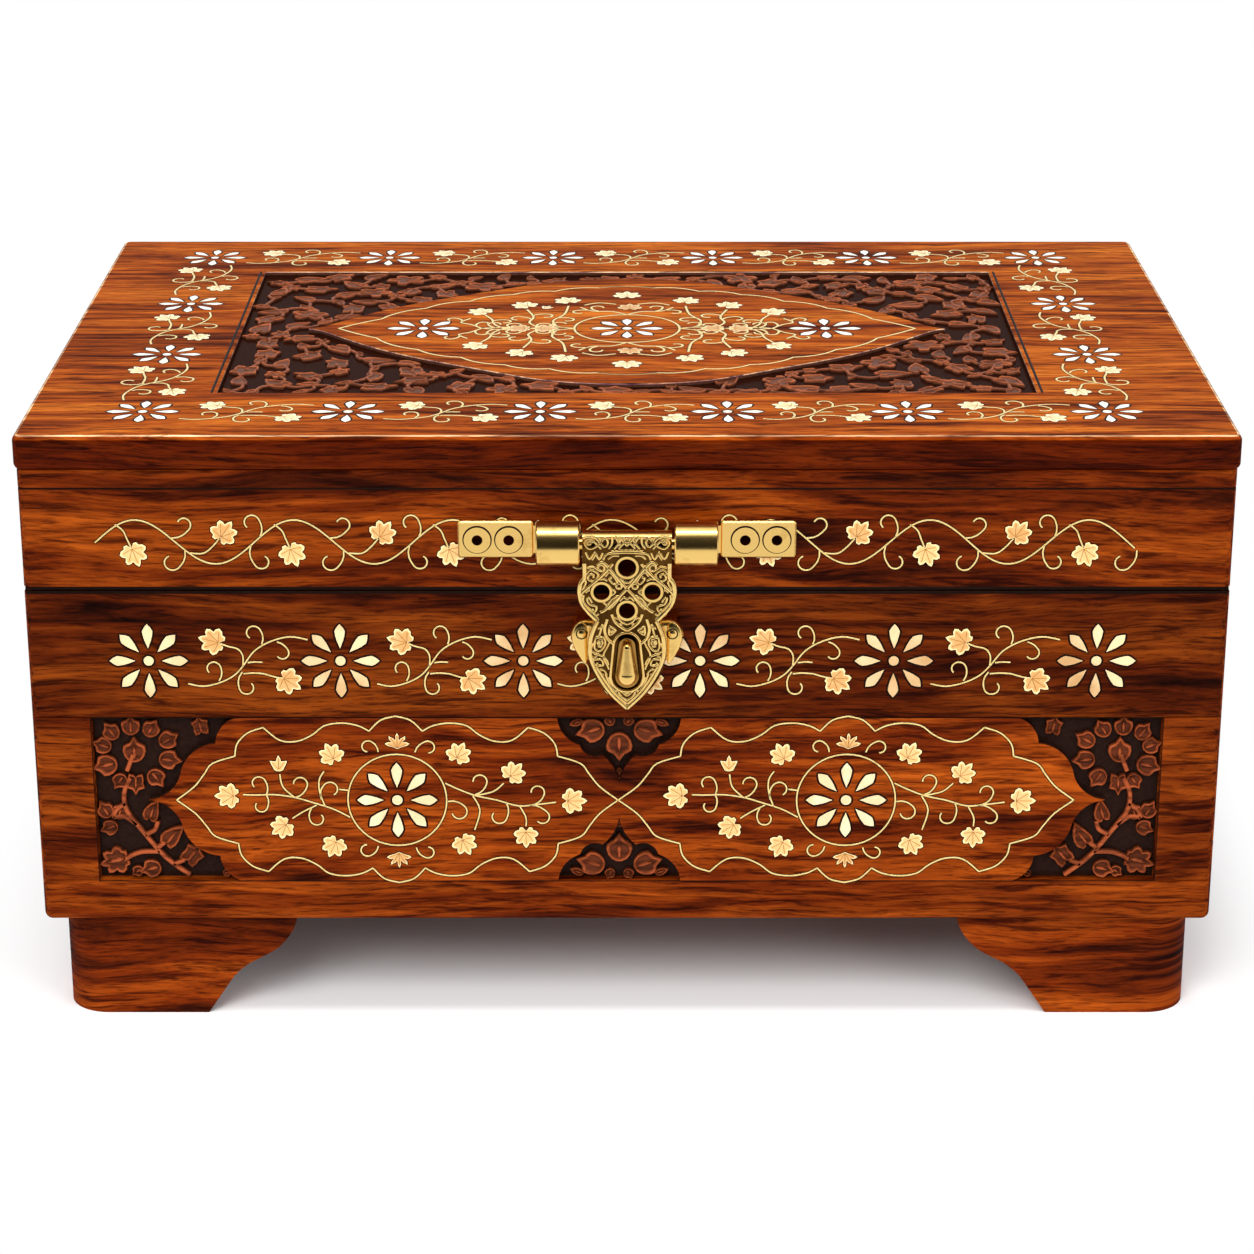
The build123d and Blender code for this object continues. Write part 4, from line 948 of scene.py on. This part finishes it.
panel = new_drawing()
CARTOUCHE_PARTS = (
    ((-56.75, 0), (-52.1, 3.7), (-49.4, 7.2), (-47.1, 10.2), (-41.3, 12.2)),
    ((-41.3, 12.2), (-40.6, 15.6), (-37.8, 18.6), (-33.8, 20.1)),
    ((-33.8, 20.1), (-29.7, 16.6), (-25.3, 16.3), (-21.3, 18.1), (-18.1, 20.6), (-13.7, 21.3), (-9.6, 20.6),
     (-6.8, 19.1)),
    ((-6.8, 19.1), (-3.8, 22.1), (0, 23.2)),
)
SPRAY_STEMS = (
    ((-12.3, -4.8), (-16.3, -2.6), (-20.8, -1), (-26.2, 0.7), (-31.5, 1.5), (-36, 1.4), (-39.6, 1.5)),
    ((-26.6, 0.9), (-29.3, 3.7), (-30, 7.2)), ((-18.6, -1.8), (-19.9, 2.2), (-19.9, 5.7), (-18.6, 8)),
    ((-20.8, -1.4), (-24.4, -3.3), (-27.1, -5.1)),
    ((12.4, 4.7), (15.8, 3), (20.3, 1.2), (25.6, 0), (31, -1.6), (35.4, -1.3), (40.8, -0.6)),
    ((20.3, 1.3), (24.7, 2.4), (27.4, 4.7)), ((19.4, 1.2), (21.2, -2.8), (19.8, -8.3)),
    ((31.4, -1.6), (33, -4.8), (33, -7.3)), ((-14.8, 3), (-12.5, 2.7)),
)
SPRAY_CURLS = (
    ((-33.6, 1.5), (-35.5, 4.7), 2, 280), ((-33.6, 1.4), (-35.1, -1.7), 1.8, -280),
    ((-26.2, 0.7), (-24.9, 4.5), 2.1, 290), ((-19.5, 0.2), (-17.1, 3), 2.2, -290),
    ((-22.1, -2.3), (-20.8, -5.2), 2, 290), ((20, 1.5), (21.2, 5.2), 2.1, 290),
    ((35, -1.3), (36, 2.2), 2, 290), ((34, -1.4), (37.2, -4.8), 2.1, -270),
    ((28, -0.7), (26.1, -4.6), 2.2, -280), ((13, -0.4), (15.8, -3.3), 2.3, -300),
    ((-4.6, 13.4), (-7.2, 14.8), 1.8, 290), ((4.8, 13.3), (8.2, 14.6), 1.9, -290),
    ((-5.2, -12.9), (-8.1, -14), 1.9, -290), ((4.6, -13.3), (7.6, -14.6), 1.8, 290),
)
SPRAY_LEAVES = (
    ("vine", -42.9, 1.2, 180, 3.8), ("bud", -30.2, 9.3, 90, 3.2), ("vine", -29.4, -7.3, 215, 3.6),
    ("vine", -16.4, 12.2, 115, 3.6), ("vine", -16.4, -12.4, 245, 3.6), ("vine", 15.8, 12.4, 65, 3.6),
    ("vine", 16.9, -11.8, -65, 3.6), ("vine", 44.6, -0.2, 0, 3.9), ("vine", 29.6, 7.2, 50, 3.6),
    ("vine", 33, -9.6, -90, 3.5),
)
SPRAY_PALMETTES = ((0.3, 15.2, 90), (0.1, -15.6, -90))
CARTOUCHES = ((-59.05, 1.0), (56.3, 1.032))
PANEL_RING = 12.7
middle_z = PANEL_MIDDLE / MM
for middle, stretch in CARTOUCHES:
    for part in CARTOUCHE_PARTS:
        line = smooth(part)
        panel["wire"] += [moved(line, middle, middle_z, 0, sx * stretch, sy) for sx, sy in QUARTERS]
    panel["wire"].append(ring(middle, middle_z, PANEL_RING))
    sprays = [smooth(stem) for stem in SPRAY_STEMS] + [curl(*values) for values in SPRAY_CURLS]
    panel["wire"] += [moved(line, middle, middle_z) for line in sprays]
    for kind, u, v, tip, size in SPRAY_LEAVES:
        panel["leaves"].append((kind, middle + u, middle_z + v, tip, size))
    for u, v, tip in SPRAY_PALMETTES:
        panel["gold"].append(("palmette", middle + u, middle_z + v, tip, 3.4))

TOP_PROUD = 0.3
TOP_WIRE = 0.62
LENS_WIRE = 0.74
border_petals = petal_outlines("lid_border_bone_flowers", ON_LID)
centre_petals = petal_outlines("lid_centre_bone_flowers", ON_LID)
rail_petals = petal_outlines("upper_rail_bone_flowers", ON_CASE_FRONT)
panel_petals = petal_outlines("front_panel_bone_flowers", ON_CASE_FRONT)
lay_drawing("lid_border", border, ON_LID, "lid", leaf_pale, border_petals, TOP_PROUD, TOP_WIRE)
lay_drawing("lid_centre", lens, ON_LID, "lid", leaf_pale, centre_petals, TOP_PROUD, LENS_WIRE)
lay_drawing("lid_front", front_vine, ON_LID_FRONT, "lid", leaf_cream)
lay_drawing("upper_rail", rail, ON_CASE_FRONT, "case", leaf_cream, rail_petals)
lay_drawing("front_panel", panel, ON_CASE_FRONT, "case", leaf_cream, panel_petals)

# Relief on the lid: leaves on branching stems, all over the ground between the frame and the cartouche

# Each carved leaf's half outline, its share of the relief's height, its swing to the side and its slimness
CARVED = {
    "ivy": (IVY_LEAF, 1.0, 0.0, 0.82), "ivy_left": (IVY_LEAF, 0.93, -0.35, 0.7),
    "heart": (HEART_LEAF, 0.97, 0.2, 0.85), "petal": (PETAL_LEAF, 1.0, 0.0, 1.0),
    "curled": (PETAL_LEAF, 0.9, 0.45, 1.0), "curled_left": (PETAL_LEAF, 0.95, -0.45, 1.0),
    "round": (ROUND_PETAL, 0.96, 0.0, 1.0), "vine": (VINE_LEAF, 0.96, 0.0, 1.0),
    "blossom": (BLOSSOM, 1.0, 0.0, 1.0),
}


def relief_set(place, depth, height, rim, sink, ribbed):
    """One template of each carved leaf, for a ground at this depth and leaves of about this height."""
    return {
        kind: relief_template(place + kind, half, depth, share * height, rim, sink, ribbed, swing, slim)
        for kind, (half, share, swing, slim) in CARVED.items()}


lid_templates = relief_set("lid_relief_", FIELD_DEPTH, 0.9, 0.80, 0.42, False)
panel_templates = relief_set("panel_relief_", CARVING_DEPTH, 1.9, 0.72, 0.46, True)

# The kinds in the share that each has of the lid's leaves, then the leaves' sizes and how they are set
KINDS = ("ivy", "ivy_left", "heart", "curled", "curled_left", "ivy_left", "heart", "blossom", "curled",
         "ivy")
LEAF_TRIES = 9000
LARGE_TRIES = 1500
LARGE_LEAVES = (4.6, 5.6)
SMALL_LEAVES = (2.6, 4.4)
LEAF_REACH = 0.86
LEAF_SPACING = 0.84
BESIDE_LENS = 0.75
STEM_BEND = 0.32
LONGEST_STEM = 19
STEM_REACH = 0.8
FIRST_TIP = 45.0
TIP_TURN = 20
LEAF_LEAN = 1.2


def on_ground(x, y, margin):
    """Whether a spot of the lid's field is clear of the frame and of the cartouche."""
    if abs(x) > FIELD_HALF_X - margin or abs(y) > FIELD_HALF_Y - margin:
        return False
    if abs(x) > LENS_HALF_X + margin:
        return True
    for near in (abs(x) - margin, abs(x), abs(x) + margin):
        if abs(y) < LENS_HALF_Y * lens_height(max(0.0, near) / LENS_HALF_X) + margin * BESIDE_LENS:
            return False
    return True


def has_room(x, y, size):
    """Whether a leaf of this size fits on the ground beside the leaves that are there."""
    return on_ground(x, y, size * LEAF_REACH) and all(
        math.dist((x, y), leaf[:2]) > LEAF_SPACING * (size + leaf[2]) for leaf in leaves)


chance = random.Random(11)
leaves = []
for attempt in range(LEAF_TRIES):
    size = chance.uniform(*(LARGE_LEAVES if attempt < LARGE_TRIES else SMALL_LEAVES))
    x = chance.uniform(-FIELD_HALF_X, FIELD_HALF_X)
    y = chance.uniform(-FIELD_HALF_Y, FIELD_HALF_Y)
    if has_room(x, y, size):
        leaves.append((x, y, size))

# Each leaf in turn gets a stem to the nearest of those that have one
joined, stems, tips = [0], [], {0: FIRST_TIP}
waiting = set(range(1, len(leaves)))
while waiting:
    gap, a, b = min((math.dist(leaves[a][:2], leaves[b][:2]), a, b) for a in joined for b in waiting)
    waiting.discard(b)
    joined.append(b)
    (ax, ay, _), (bx, by, _) = leaves[a], leaves[b]
    side = chance.uniform(-STEM_BEND, STEM_BEND)
    middle = ((ax + bx) / 2 - (by - ay) * side, (ay + by) / 2 + (bx - ax) * side)
    tips[b] = math.degrees(math.atan2(by - middle[1], bx - middle[0])) + chance.uniform(-TIP_TURN, TIP_TURN)
    if gap < LONGEST_STEM and on_ground(*middle, STEM_REACH):
        stems.append(smooth(((ax, ay), middle, (bx, by))))
placings = [
    (KINDS[chance.randrange(len(KINDS))], x, y, tips[index], size, chance.uniform(-LEAF_LEAN, LEAF_LEAN))
    for index, (x, y, size) in enumerate(leaves)]
copies("lid_carved_leaves", placings, lid_templates, ON_LID, "lid", carving_lid)
drawn_lines("lid_carved_stems", stems, ON_LID, "lid", carving_lid, 1.2, 0.55, lift=-1.15)

FRAME_LINE = FIELD_HALF_X + 1.3
frame_lines = mirrored([[(FRAME_LINE, -FIELD_HALF_Y), (FRAME_LINE, FIELD_HALF_Y)]])
dark_lines("lid_field_side_lines", frame_lines, ON_LID, "lid", 0.7, 0.02)

# Joint line under the strip round the lid, painted shade along the lid's seam, and the front panel's joint
# line

HINGE_LINE_Y = 103.0
EDGE_THICKNESS = 0.12
STRIP_LINE = 0.28
SEAM_SHADE = 0.46
SEAM_OVERHANG = 0.05


def rectangle(left, low, right, high):
    """A closed line in millimetres round a rectangle given in metres."""
    corners = ((left, low), (right, low), (right, high), (left, high), (left, low))
    return [(x / MM, y / MM) for x, y in corners]


def dark_edge(name, line, z, body, height):
    """A thin dark line round the trunk at this level, in metres, as high above it as below it."""
    level = Matrix.Translation((0, 0, z)) @ Matrix.Scale(MM, 4)
    drawn_lines(name, [line], level, body, dark_filler_and_shade, EDGE_THICKNESS, height)


rail_low, rail_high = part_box("lid_front_rail")[0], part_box("lid_back_rail")[1]
strip_line = rectangle(rail_low.x, rail_low.y, rail_high.x, rail_high.y)
dark_edge("lid_strip_joint_line", strip_line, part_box("lid_front_rail")[1].z, "lid", STRIP_LINE)
# Painted shade: dark bands on the lid's and the case's faces along the seam between them
for body, rail_name, end, way in (("lid", "lid_front_rail", 0, 1), ("case", "case_front_upper_rail", 1, -1)):
    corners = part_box(rail_name)
    left, front, right = corners[0].x / MM, corners[0].y / MM, corners[1].x / MM
    edge_line = [(left, HINGE_LINE_Y), (left, front), (right, front), (right, HINGE_LINE_Y)]
    edge_z = corners[end].z + way * (SEAM_SHADE - SEAM_OVERHANG) * MM
    dark_edge(body + "_seam_shade", edge_line, edge_z, body, SEAM_SHADE)
panel_line = rectangle(-PANEL_HALF, PANEL_LOW, PANEL_HALF, PANEL_HIGH)
dark_lines("front_panel_joint_line", [panel_line], ON_CASE_FRONT, "case", 0.32, 0.02)

# Relief in the front panel: a flower on a leafy stem at each end, a fan of petals over and under the middle

CORNER_STEMS = (
    ((-127.7, 5.5), (-129.5, 1.2), (-129, -3.8), (-125, -9.8), (-119.7, -16.7), (-113.6, -21.8)),
    ((-126.6, -7.5), (-130, -5.2), (-132.5, -5.6)), ((-124.5, -10.4), (-122, -9), (-121.2, -6.6)),
    ((-121.6, -14.2), (-119.6, -12.6)), ((-121, -15.2), (-126, -15.4), (-130, -17.2)),
    ((-117.5, -18.8), (-114.8, -17.6)), ((-128.4, 7.5), (-126.6, 12)),
    ((-129.2, -1.6), (-131.6, -3.4), (-132.6, -5.6)),
)
CORNER_LEAVES = (
    ("round", -126.9, 19, 90, 3.1), ("round", -131.5, 17.6, 125, 2.9), ("round", -133.6, 14.2, 160, 2.9),
    ("round", -132.8, 9.2, 195, 3.7), ("round", -122.1, 18.4, 58, 2.9), ("round", -118.2, 15.6, 30, 3.1),
    ("round", -118.3, 10.6, -8, 3.3), ("round", -121.5, 6.2, -55, 3.1), ("ivy", -126.3, 4.4, -92, 3.4),
    ("round", -126.3, 11.9, 90, 3.8), ("round", -130, 5.2, 235, 2.6), ("round", -134.2, -4.2, 120, 2.8),
    ("round", -131, -4.6, 70, 2.6), ("round", -133, -8.2, 200, 2.7), ("heart", -122.7, -4.6, 72, 3.7),
    ("heart", -118.1, -11.6, 52, 4.3), ("vine", -131.9, -17.6, 195, 4.2), ("ivy", -112.9, -16.4, 50, 4),
    ("round", -122.6, -19.8, 195, 3.2), ("round", -126.6, -20.4, 215, 1.9), ("ivy", -109, 19.5, 100, 3.2),
    ("round", -104.2, -21.2, 10, 1.3),
)
FAN = (("round", 0, 15.6, -90, 4.3), ("round", -6, 18.9, 197, 4.2), ("round", 6, 18.9, -17, 4.2),
       ("petal", -10.4, 21, 200, 2.2), ("petal", 10.4, 21, -20, 2.2), ("petal", 0, 7.2, -90, 1.9),
       ("round", -2.2, 21, 120, 1.8), ("round", 2.2, 21, 60, 1.8))
FAN_MIDDLE = -2.0
sprays, spray_stems = [], []
for side in (1, -1):
    for kind, x, v, tip, size in CORNER_LEAVES:
        sprays.append((kind, side * x, middle_z + v, tip if side == 1 else 180 - tip, size))
    for stem in CORNER_STEMS:
        spray_stems.append([(side * x, middle_z + v) for x, v in smooth(stem)])
    for kind, x, v, tip, size in FAN:
        sprays.append((kind, FAN_MIDDLE + x, middle_z + side * v, side * tip, size))
copies("front_panel_carved_leaves", sprays, panel_templates, ON_CASE_FRONT, "case", carving_case)
drawn_lines("front_panel_carved_stems", spray_stems, ON_CASE_FRONT, "case", carving_case,
            1.5, 1.1, -2.2)

# Ornament cast on the hasp: borders, crossing bands and abstract knots, measured from its pin

PIN_Z = 133.7


def beside_pin(face_y):
    """A front face at this depth, measured from the hasp's pin."""
    return Matrix.Translation((0, face_y * MM, PIN_Z * MM)) @ UPRIGHT


ON_HASP = beside_pin(HASP_FACE)
HASP_BORDER = (
    (10.6, -4), (10.6, -7.7), (11.4, -9), (11.8, -10.4), (11.8, -12.4), (11.1, -14.8), (9.4, -17.1),
    (7.3, -19.2),
)
HASP_LOW_BORDER = (
    (7.3, -19.2), (8.3, -21.5), (9.1, -24.2), (9.25, -27.2), (8.8, -30), (6.9, -34.2), (4, -38.6),
    (0, -42.6),
)
HASP_INNER_BORDER = ((7.6, -31.4), (5.6, -34.8), (2.9, -38.6), (0.0, -41.3))
HASP_BANDS = (
    ((-7.5, -4.5), (-6.1, -3.8), (-4.4, -5.3), (0, -10.7), (5, -15.9), (6.6, -16.9)),
    ((-3.5, -4.1), (-6.2, -7.2), (-9.3, -10), (-11.3, -11.9), (-11.6, -14), (-10, -16.3), (-7.2, -18.7)),
    ((-4.9, -18.7), (-5.6, -21.6), (-4.8, -24), (-3.5, -25.2)),
    ((-3.8, -17.4), (-3, -19.4), (-1.4, -20.9), (0, -21.7)),
)
HASP_KNOTS = (
    ((-10.6, 2.9), (-8, 2.8), (-5.7, 0.3), (-4.7, 1.4), (-5.5, 2.6), (-7.2, 0.7), (-9.3, -0.2),
     (-10.6, 1.4), (-9.3, 2.6), (-7.9, 1.4), (-6.4, -0.2)),
    ((-3.7, 3), (-3.7, 1.2), (-4.6, -0.1)), ((-3, 3), (-1.7, 1.8), (-3.2, -0.2)), ((-1.9, 3), (0, 0.6)),
    ((-2.1, -0.1), (0, 2.1)), ((-10.3, -1), (-9.3, -2.9), (-8, -1.1), (-6.9, -3), (-6, -1.2)),
    ((-5.9, -3.1), (-4.8, -1.5), (0, -1.2)), ((-4.7, -2.9), (-3.5, -2), (-2, -2)),
    ((-10.2, -6.9), (-9, -5.7), (-7.1, -6.9), (-8.2, -8.7), (-9.7, -8.1), (-9.3, -6.9), (-8.3, -7),
     (-8.4, -7.8)),
    ((-10.8, -12.3), (-10.9, -14), (-9.6, -15.7), (-8.1, -16.8), (-7.6, -15.4), (-9.3, -14.8), (-10, -13.3),
     (-9.3, -13.2), (-8.7, -14.3)),
    ((-5.4, -7.4), (-4.4, -6.3), (-3.2, -7.5), (-2.3, -9.3), (-3.5, -9.3), (-4.4, -8), (-3.7, -7.7)),
    ((-5.3, -16.1), (-3.9, -13.5), (-1.7, -12.5), (-2.8, -14.4), (-4.4, -16.1), (-3.7, -15)),
    ((-11.3, -10.9), (-11.7, -9.2), (-10.8, -8), (-10.2, -9.1), (-11.2, -10.9)),
    ((-2.3, -17.8), (-1.5, -19.3), (0, -20.1)), ((-3, -18.2), (-2.1, -18.7)),
    ((-1.7, -19.7), (-1.3, -20.4)), ((-4.4, -20.6), (-2.8, -21.7), (-4.4, -22.9), (-4.4, -20.6)),
    ((-6.1, -20), (-6.9, -22.9), (-7.7, -23.3)),
    ((-7.9, -23.8), (-5.9, -23.5), (-5.4, -25.4), (-6.8, -27.2), (-8.1, -26.4), (-7.9, -23.8)),
    ((-4.2, -24.4), (-4.8, -25.9), (-5.9, -28.5), (-4.8, -31.2), (-4.5, -32.1)),
    ((-8.3, -27.9), (-6.1, -28.6), (-5, -29.6), (-4.6, -30.9)),
    ((-8.2, -29.5), (-6.4, -29.5), (-6, -31), (-7.8, -31), (-7.3, -30.3)),
    ((-5.4, -33.3), (-3.9, -37.2), (-2.8, -38.2), (-4.6, -34.2)),
    ((-2.1, -38.2), (-1.4, -39.5), (0, -40.4)), ((-1.1, -38.4), (0, -39.2)),
    ((-7.3, -21.3), (-6.2, -20.7), (-5.3, -21.2)), ((-8.5, -25), (-9, -27), (-7.9, -27.7), (-7, -27.7)),
    ((-7.5, -28.6), (-8.5, -29.2), (-8, -31.9)), ((-6.8, -32), (-5.6, -32.5), (-5, -33.6)),
    ((-6.2, -33.2), (-5.9, -34.3)), ((-3.5, -36.3), (-3, -37.5), (-2.1, -37.9)),
    ((-1.6, -37.9), (-0.9, -38.4), (0, -38.5)), ((-6.9, -8.2), (-5.8, -8.1), (-4.9, -8.6)),
    ((-8.6, -9.2), (-9.4, -10.2), (-9.5, -11.3)), ((-9.5, -10.7), (-10.3, -11.7)),
    ((-1.6, -7.9), (-0.7, -8.9), (0, -9.1)), ((-3.9, -10.7), (-2.9, -11.5), (-3.9, -12.4)),
    ((-5.9, -14.2), (-4.9, -15.2)), ((-8.6, -15.9), (-8, -17.7), (-7, -17.3)), ((-9.1, 1.2), (-8.3, 2)),
    ((-6.9, 2.9), (-6.2, 1.5)), ((-2.7, 2.6), (-1.5, 0.5)), ((-0.9, 2.7), (0, 1.5)),
    ((-8.7, -3.1), (-7.7, -1.5)), ((-3.9, -0.9), (-2, -0.7), (0, -0.6)), ((-5, -6.2), (-3.7, -6.1)),
    ((-9.9, -5.2), (-8.4, -4.9), (-7.2, -5.7)), ((-1.8, -13.9), (-0.9, -13), (0, -13.4)),
    ((-6.1, -24), (-6.9, -24.9), (-6.4, -26), (-7.3, -25.9)),
)
HASP_RINGS = ((-6.4, -5.2, 0.83), (-2, -10, 0.7), (-6.7, -25, 0.63), (-3.7, -22, 0.27), (-9.4, 1.4, 0.47))
# The frame of the slot, in two arcs: middle, radius, and its turns in degrees
KEYHOLE_ARCS = ((-25.65, 3.3, range(-4, 185, 12)), (-33.9, 4.15, range(184, 361, 11)))
keyhole = [(radius * math.cos(math.radians(turn)), middle + radius * math.sin(math.radians(turn)))
           for middle, radius, turns in KEYHOLE_ARCS for turn in turns]
keyhole.append(keyhole[0])
broad = mirrored([smooth(HASP_BORDER), smooth(HASP_LOW_BORDER)])
narrow = mirrored([smooth(line) for line in HASP_BANDS]) + mirrored([smooth(HASP_INNER_BORDER)])
fine = mirrored([smooth(line, 3) for line in HASP_KNOTS])
fine += mirrored([ring(*values, 14) for values in HASP_RINGS])
relief = {"outer_border": (broad, 1.3, 0.42), "crossing_bands": (narrow + [keyhole], 0.94, 0.36),
          "knots": (fine, 0.70, 0.30)}
for name, (lines, width, height) in relief.items():
    drawn_lines("hasp_" + name, lines, ON_HASP, "hasp", relief_brass, width, height)

# Painted shade: dark lines round the feet of the wing plates' rivet flanges

WING_FACE = -96.65
FLANGE_X = (29.5, 37.4)
FLANGE_LINE = 3.5
flange_rings = mirrored([ring(x, 0, FLANGE_LINE) for x in FLANGE_X])
dark_lines("wing_plate_flange_shade_lines", flange_rings, beside_pin(WING_FACE), "lid", 0.36)

# The swollen ears of the catch, beside the hasp

CATCH_FACE = -100.45
ON_CATCH = beside_pin(CATCH_FACE)
EAR_MIDDLE = (11.7, -25.4)
EAR_OUTLINE = (
    (10, -20.7), (11.4, -20.2), (12.8, -20.9), (13.8, -22.6), (14.05, -24.6), (13.6, -26.6), (12.7, -28.5),
    (11.6, -30.4), (10.3, -32.4), (9.95, -30.6), (9.95, -28), (9.95, -25.4), (9.95, -22.8),
)
EAR_SUNK, EAR_WALL = -0.3, 0.22
EAR_RINGS = ((0.90, 0.24), (0.86, 0.16), (0.78, 0.09), (0.6, 0.03))
for side, name in ((-1, "catch_left_ear_swelling"), (1, "catch_right_ear_swelling")):
    points = [(side * (x - EAR_MIDDLE[0]), z - EAR_MIDDLE[1]) for x, z in EAR_OUTLINE]
    ear = shaped_disc(name, points, EAR_SUNK, EAR_WALL)
    for size, rise in EAR_RINGS:
        ring_inwards(size, rise)
    close_up()
    bpy.ops.object.modifier_add(type="SUBSURF")
    ear.modifiers[0].levels = 1
    ear.modifiers[0].render_levels = 1
    bpy.ops.object.modifier_apply(modifier=ear.modifiers[0].name)
    bpy.ops.object.shade_smooth()
    ear_place = Matrix.Translation((side * EAR_MIDDLE[0], EAR_MIDDLE[1], 0))
    seat(ear, ON_CATCH @ ear_place, "case", catch_brass)

# Painted shade: dark rings round the nail heads where they stand out of the catch's ears
NAIL_AT = (11.4, -23.4)
NAIL_LINE = 1.3
EAR_RISE = 0.76
nail_rings = mirrored([ring(*NAIL_AT, NAIL_LINE, 20)])
dark_lines("catch_nail_shade_lines", nail_rings, ON_CATCH, "case", 0.3, lift=EAR_RISE)

for template in (*inlay_templates.values(), *lid_templates.values(), *panel_templates.values()):
    bpy.data.objects.remove(template)


# Floor, lamps and camera

SHADOW_REACH = 0.036
SKY_ON_TRUNK = 0.55
SKY_SEEN = 1.0
# Each lamp's place, what it points at, its two sides and its power
LAMPS = {
    "key_softbox": ((-0.5, -1.45, 1.35), (0, 0, 0.05), (1.0, 1.0), 26),
    "fill_softbox": ((1.1, -1.2, 0.9), (0, 0, 0.08), (0.9, 0.9), 9),
    "top_softbox": ((0.0, -0.40, 1.7), (0, 0, 0.1), (1.5, 0.3), 12),
}
CARD_PLACE = (0, -0.75, 0.66)
CARD_SIZE = (2.0, 1.3, 1)
CAMERA_PLACE = (0, -0.8968, 0.4046)
CAMERA_PITCH = 20.18
FOCAL_LENGTH = 97.18
SENSOR_WIDTH = 36


def matt_plane(name, colour, **values):
    """A plane for the studio, in a matt colour, with the nodes of its material."""
    bpy.ops.object.select_all(action="DESELECT")
    bpy.ops.mesh.primitive_plane_add(**values)
    plane = bpy.context.object
    plane.name = name
    paint, tree, shader = new_material(name)
    fill(tree, shader, Base_Color=colour, Roughness=0.9, Specular_IOR_Level=0.0)
    plane.data.materials.append(paint)
    return plane, tree, shader


def seen_rays(tree):
    """1 for what the camera sees, by itself or in a gloss or a glass, and 0 for what lights the trunk."""
    path = add(tree, "LightPath").outputs
    mirror = figure(tree, "MAXIMUM", path["Is Camera Ray"], path["Is Glossy Ray"])
    return figure(tree, "MAXIMUM", mirror, path["Is Transmission Ray"])


# The floor keeps the shadow next to the trunk and is plain white to the eye further out
floor_tree, floor_shader = matt_plane("floor", (0.96, 0.96, 0.96), size=40, location=(0, 0, 0))[1:]
spot = own_place(floor_tree)
half_trunk = (cad_box[1].x, -cad_box[0].y, 0)
ways_out = (("ABSOLUTE", None), ("SUBTRACT", half_trunk), ("MAXIMUM", (0, 0, 0)), ("LENGTH", None))
for operation, second in ways_out:
    step = add(floor_tree, "VectorMath", operation=operation)
    feed(floor_tree, spot, step.inputs[0])
    if second:
        step.inputs[1].default_value = second
    spot = step.outputs["Value" if operation == "LENGTH" else "Vector"]
beyond = share_of(floor_tree, spot, 0.0, SHADOW_REACH, curve="SMOOTHSTEP")
blend = add(floor_tree, "MixShader")
white = add(floor_tree, "Emission", Strength=1.0)
feed(floor_tree, figure(floor_tree, "MULTIPLY", beyond, seen_rays(floor_tree)), blend.inputs[0])
feed(floor_tree, floor_shader.outputs["BSDF"], blend.inputs[1])
feed(floor_tree, white.outputs["Emission"], blend.inputs[2])
fill(floor_tree, floor_tree.nodes["Material Output"], Surface=blend.outputs[0])

for name, (place, aim, sides, power) in LAMPS.items():
    bpy.ops.object.light_add(type="AREA", location=place)
    light = bpy.context.object
    light.name = name
    light.data.shape = "RECTANGLE"
    light.data.size, light.data.size_y = sides
    light.data.energy = power
    light.rotation_euler = (Vector(aim) - Vector(place)).to_track_quat("-Z", "Y").to_euler()
    light.visible_glossy = name != "key_softbox"

# A black card in front, seen only in the brass, gives its round parts the dark band of a studio picture
card = matt_plane("black_card", (0.01, 0.009, 0.008), size=1, location=CARD_PLACE,
                  rotation=(math.radians(90), 0, 0))[0]
card.scale = CARD_SIZE
card.visible_camera = False
card.visible_diffuse = False
card.visible_shadow = False
card.visible_transmission = False

scene = bpy.context.scene
scene.world = bpy.data.worlds.new("studio")
scene.world.use_nodes = True
sky = scene.world.node_tree
brightness = share_of(sky, seen_rays(sky), 0.0, 1.0, SKY_ON_TRUNK, SKY_SEEN)
fill(sky, sky.nodes["Background"], Color=(1, 1, 1), Strength=brightness)

bpy.ops.object.camera_add(location=CAMERA_PLACE, rotation=(math.radians(90 - CAMERA_PITCH), 0, 0))
camera = bpy.context.object
camera.data.sensor_width = SENSOR_WIDTH
camera.data.lens = FOCAL_LENGTH
camera.data.dof.use_dof = False
scene.camera = camera
scene.view_settings.view_transform = "Standard"
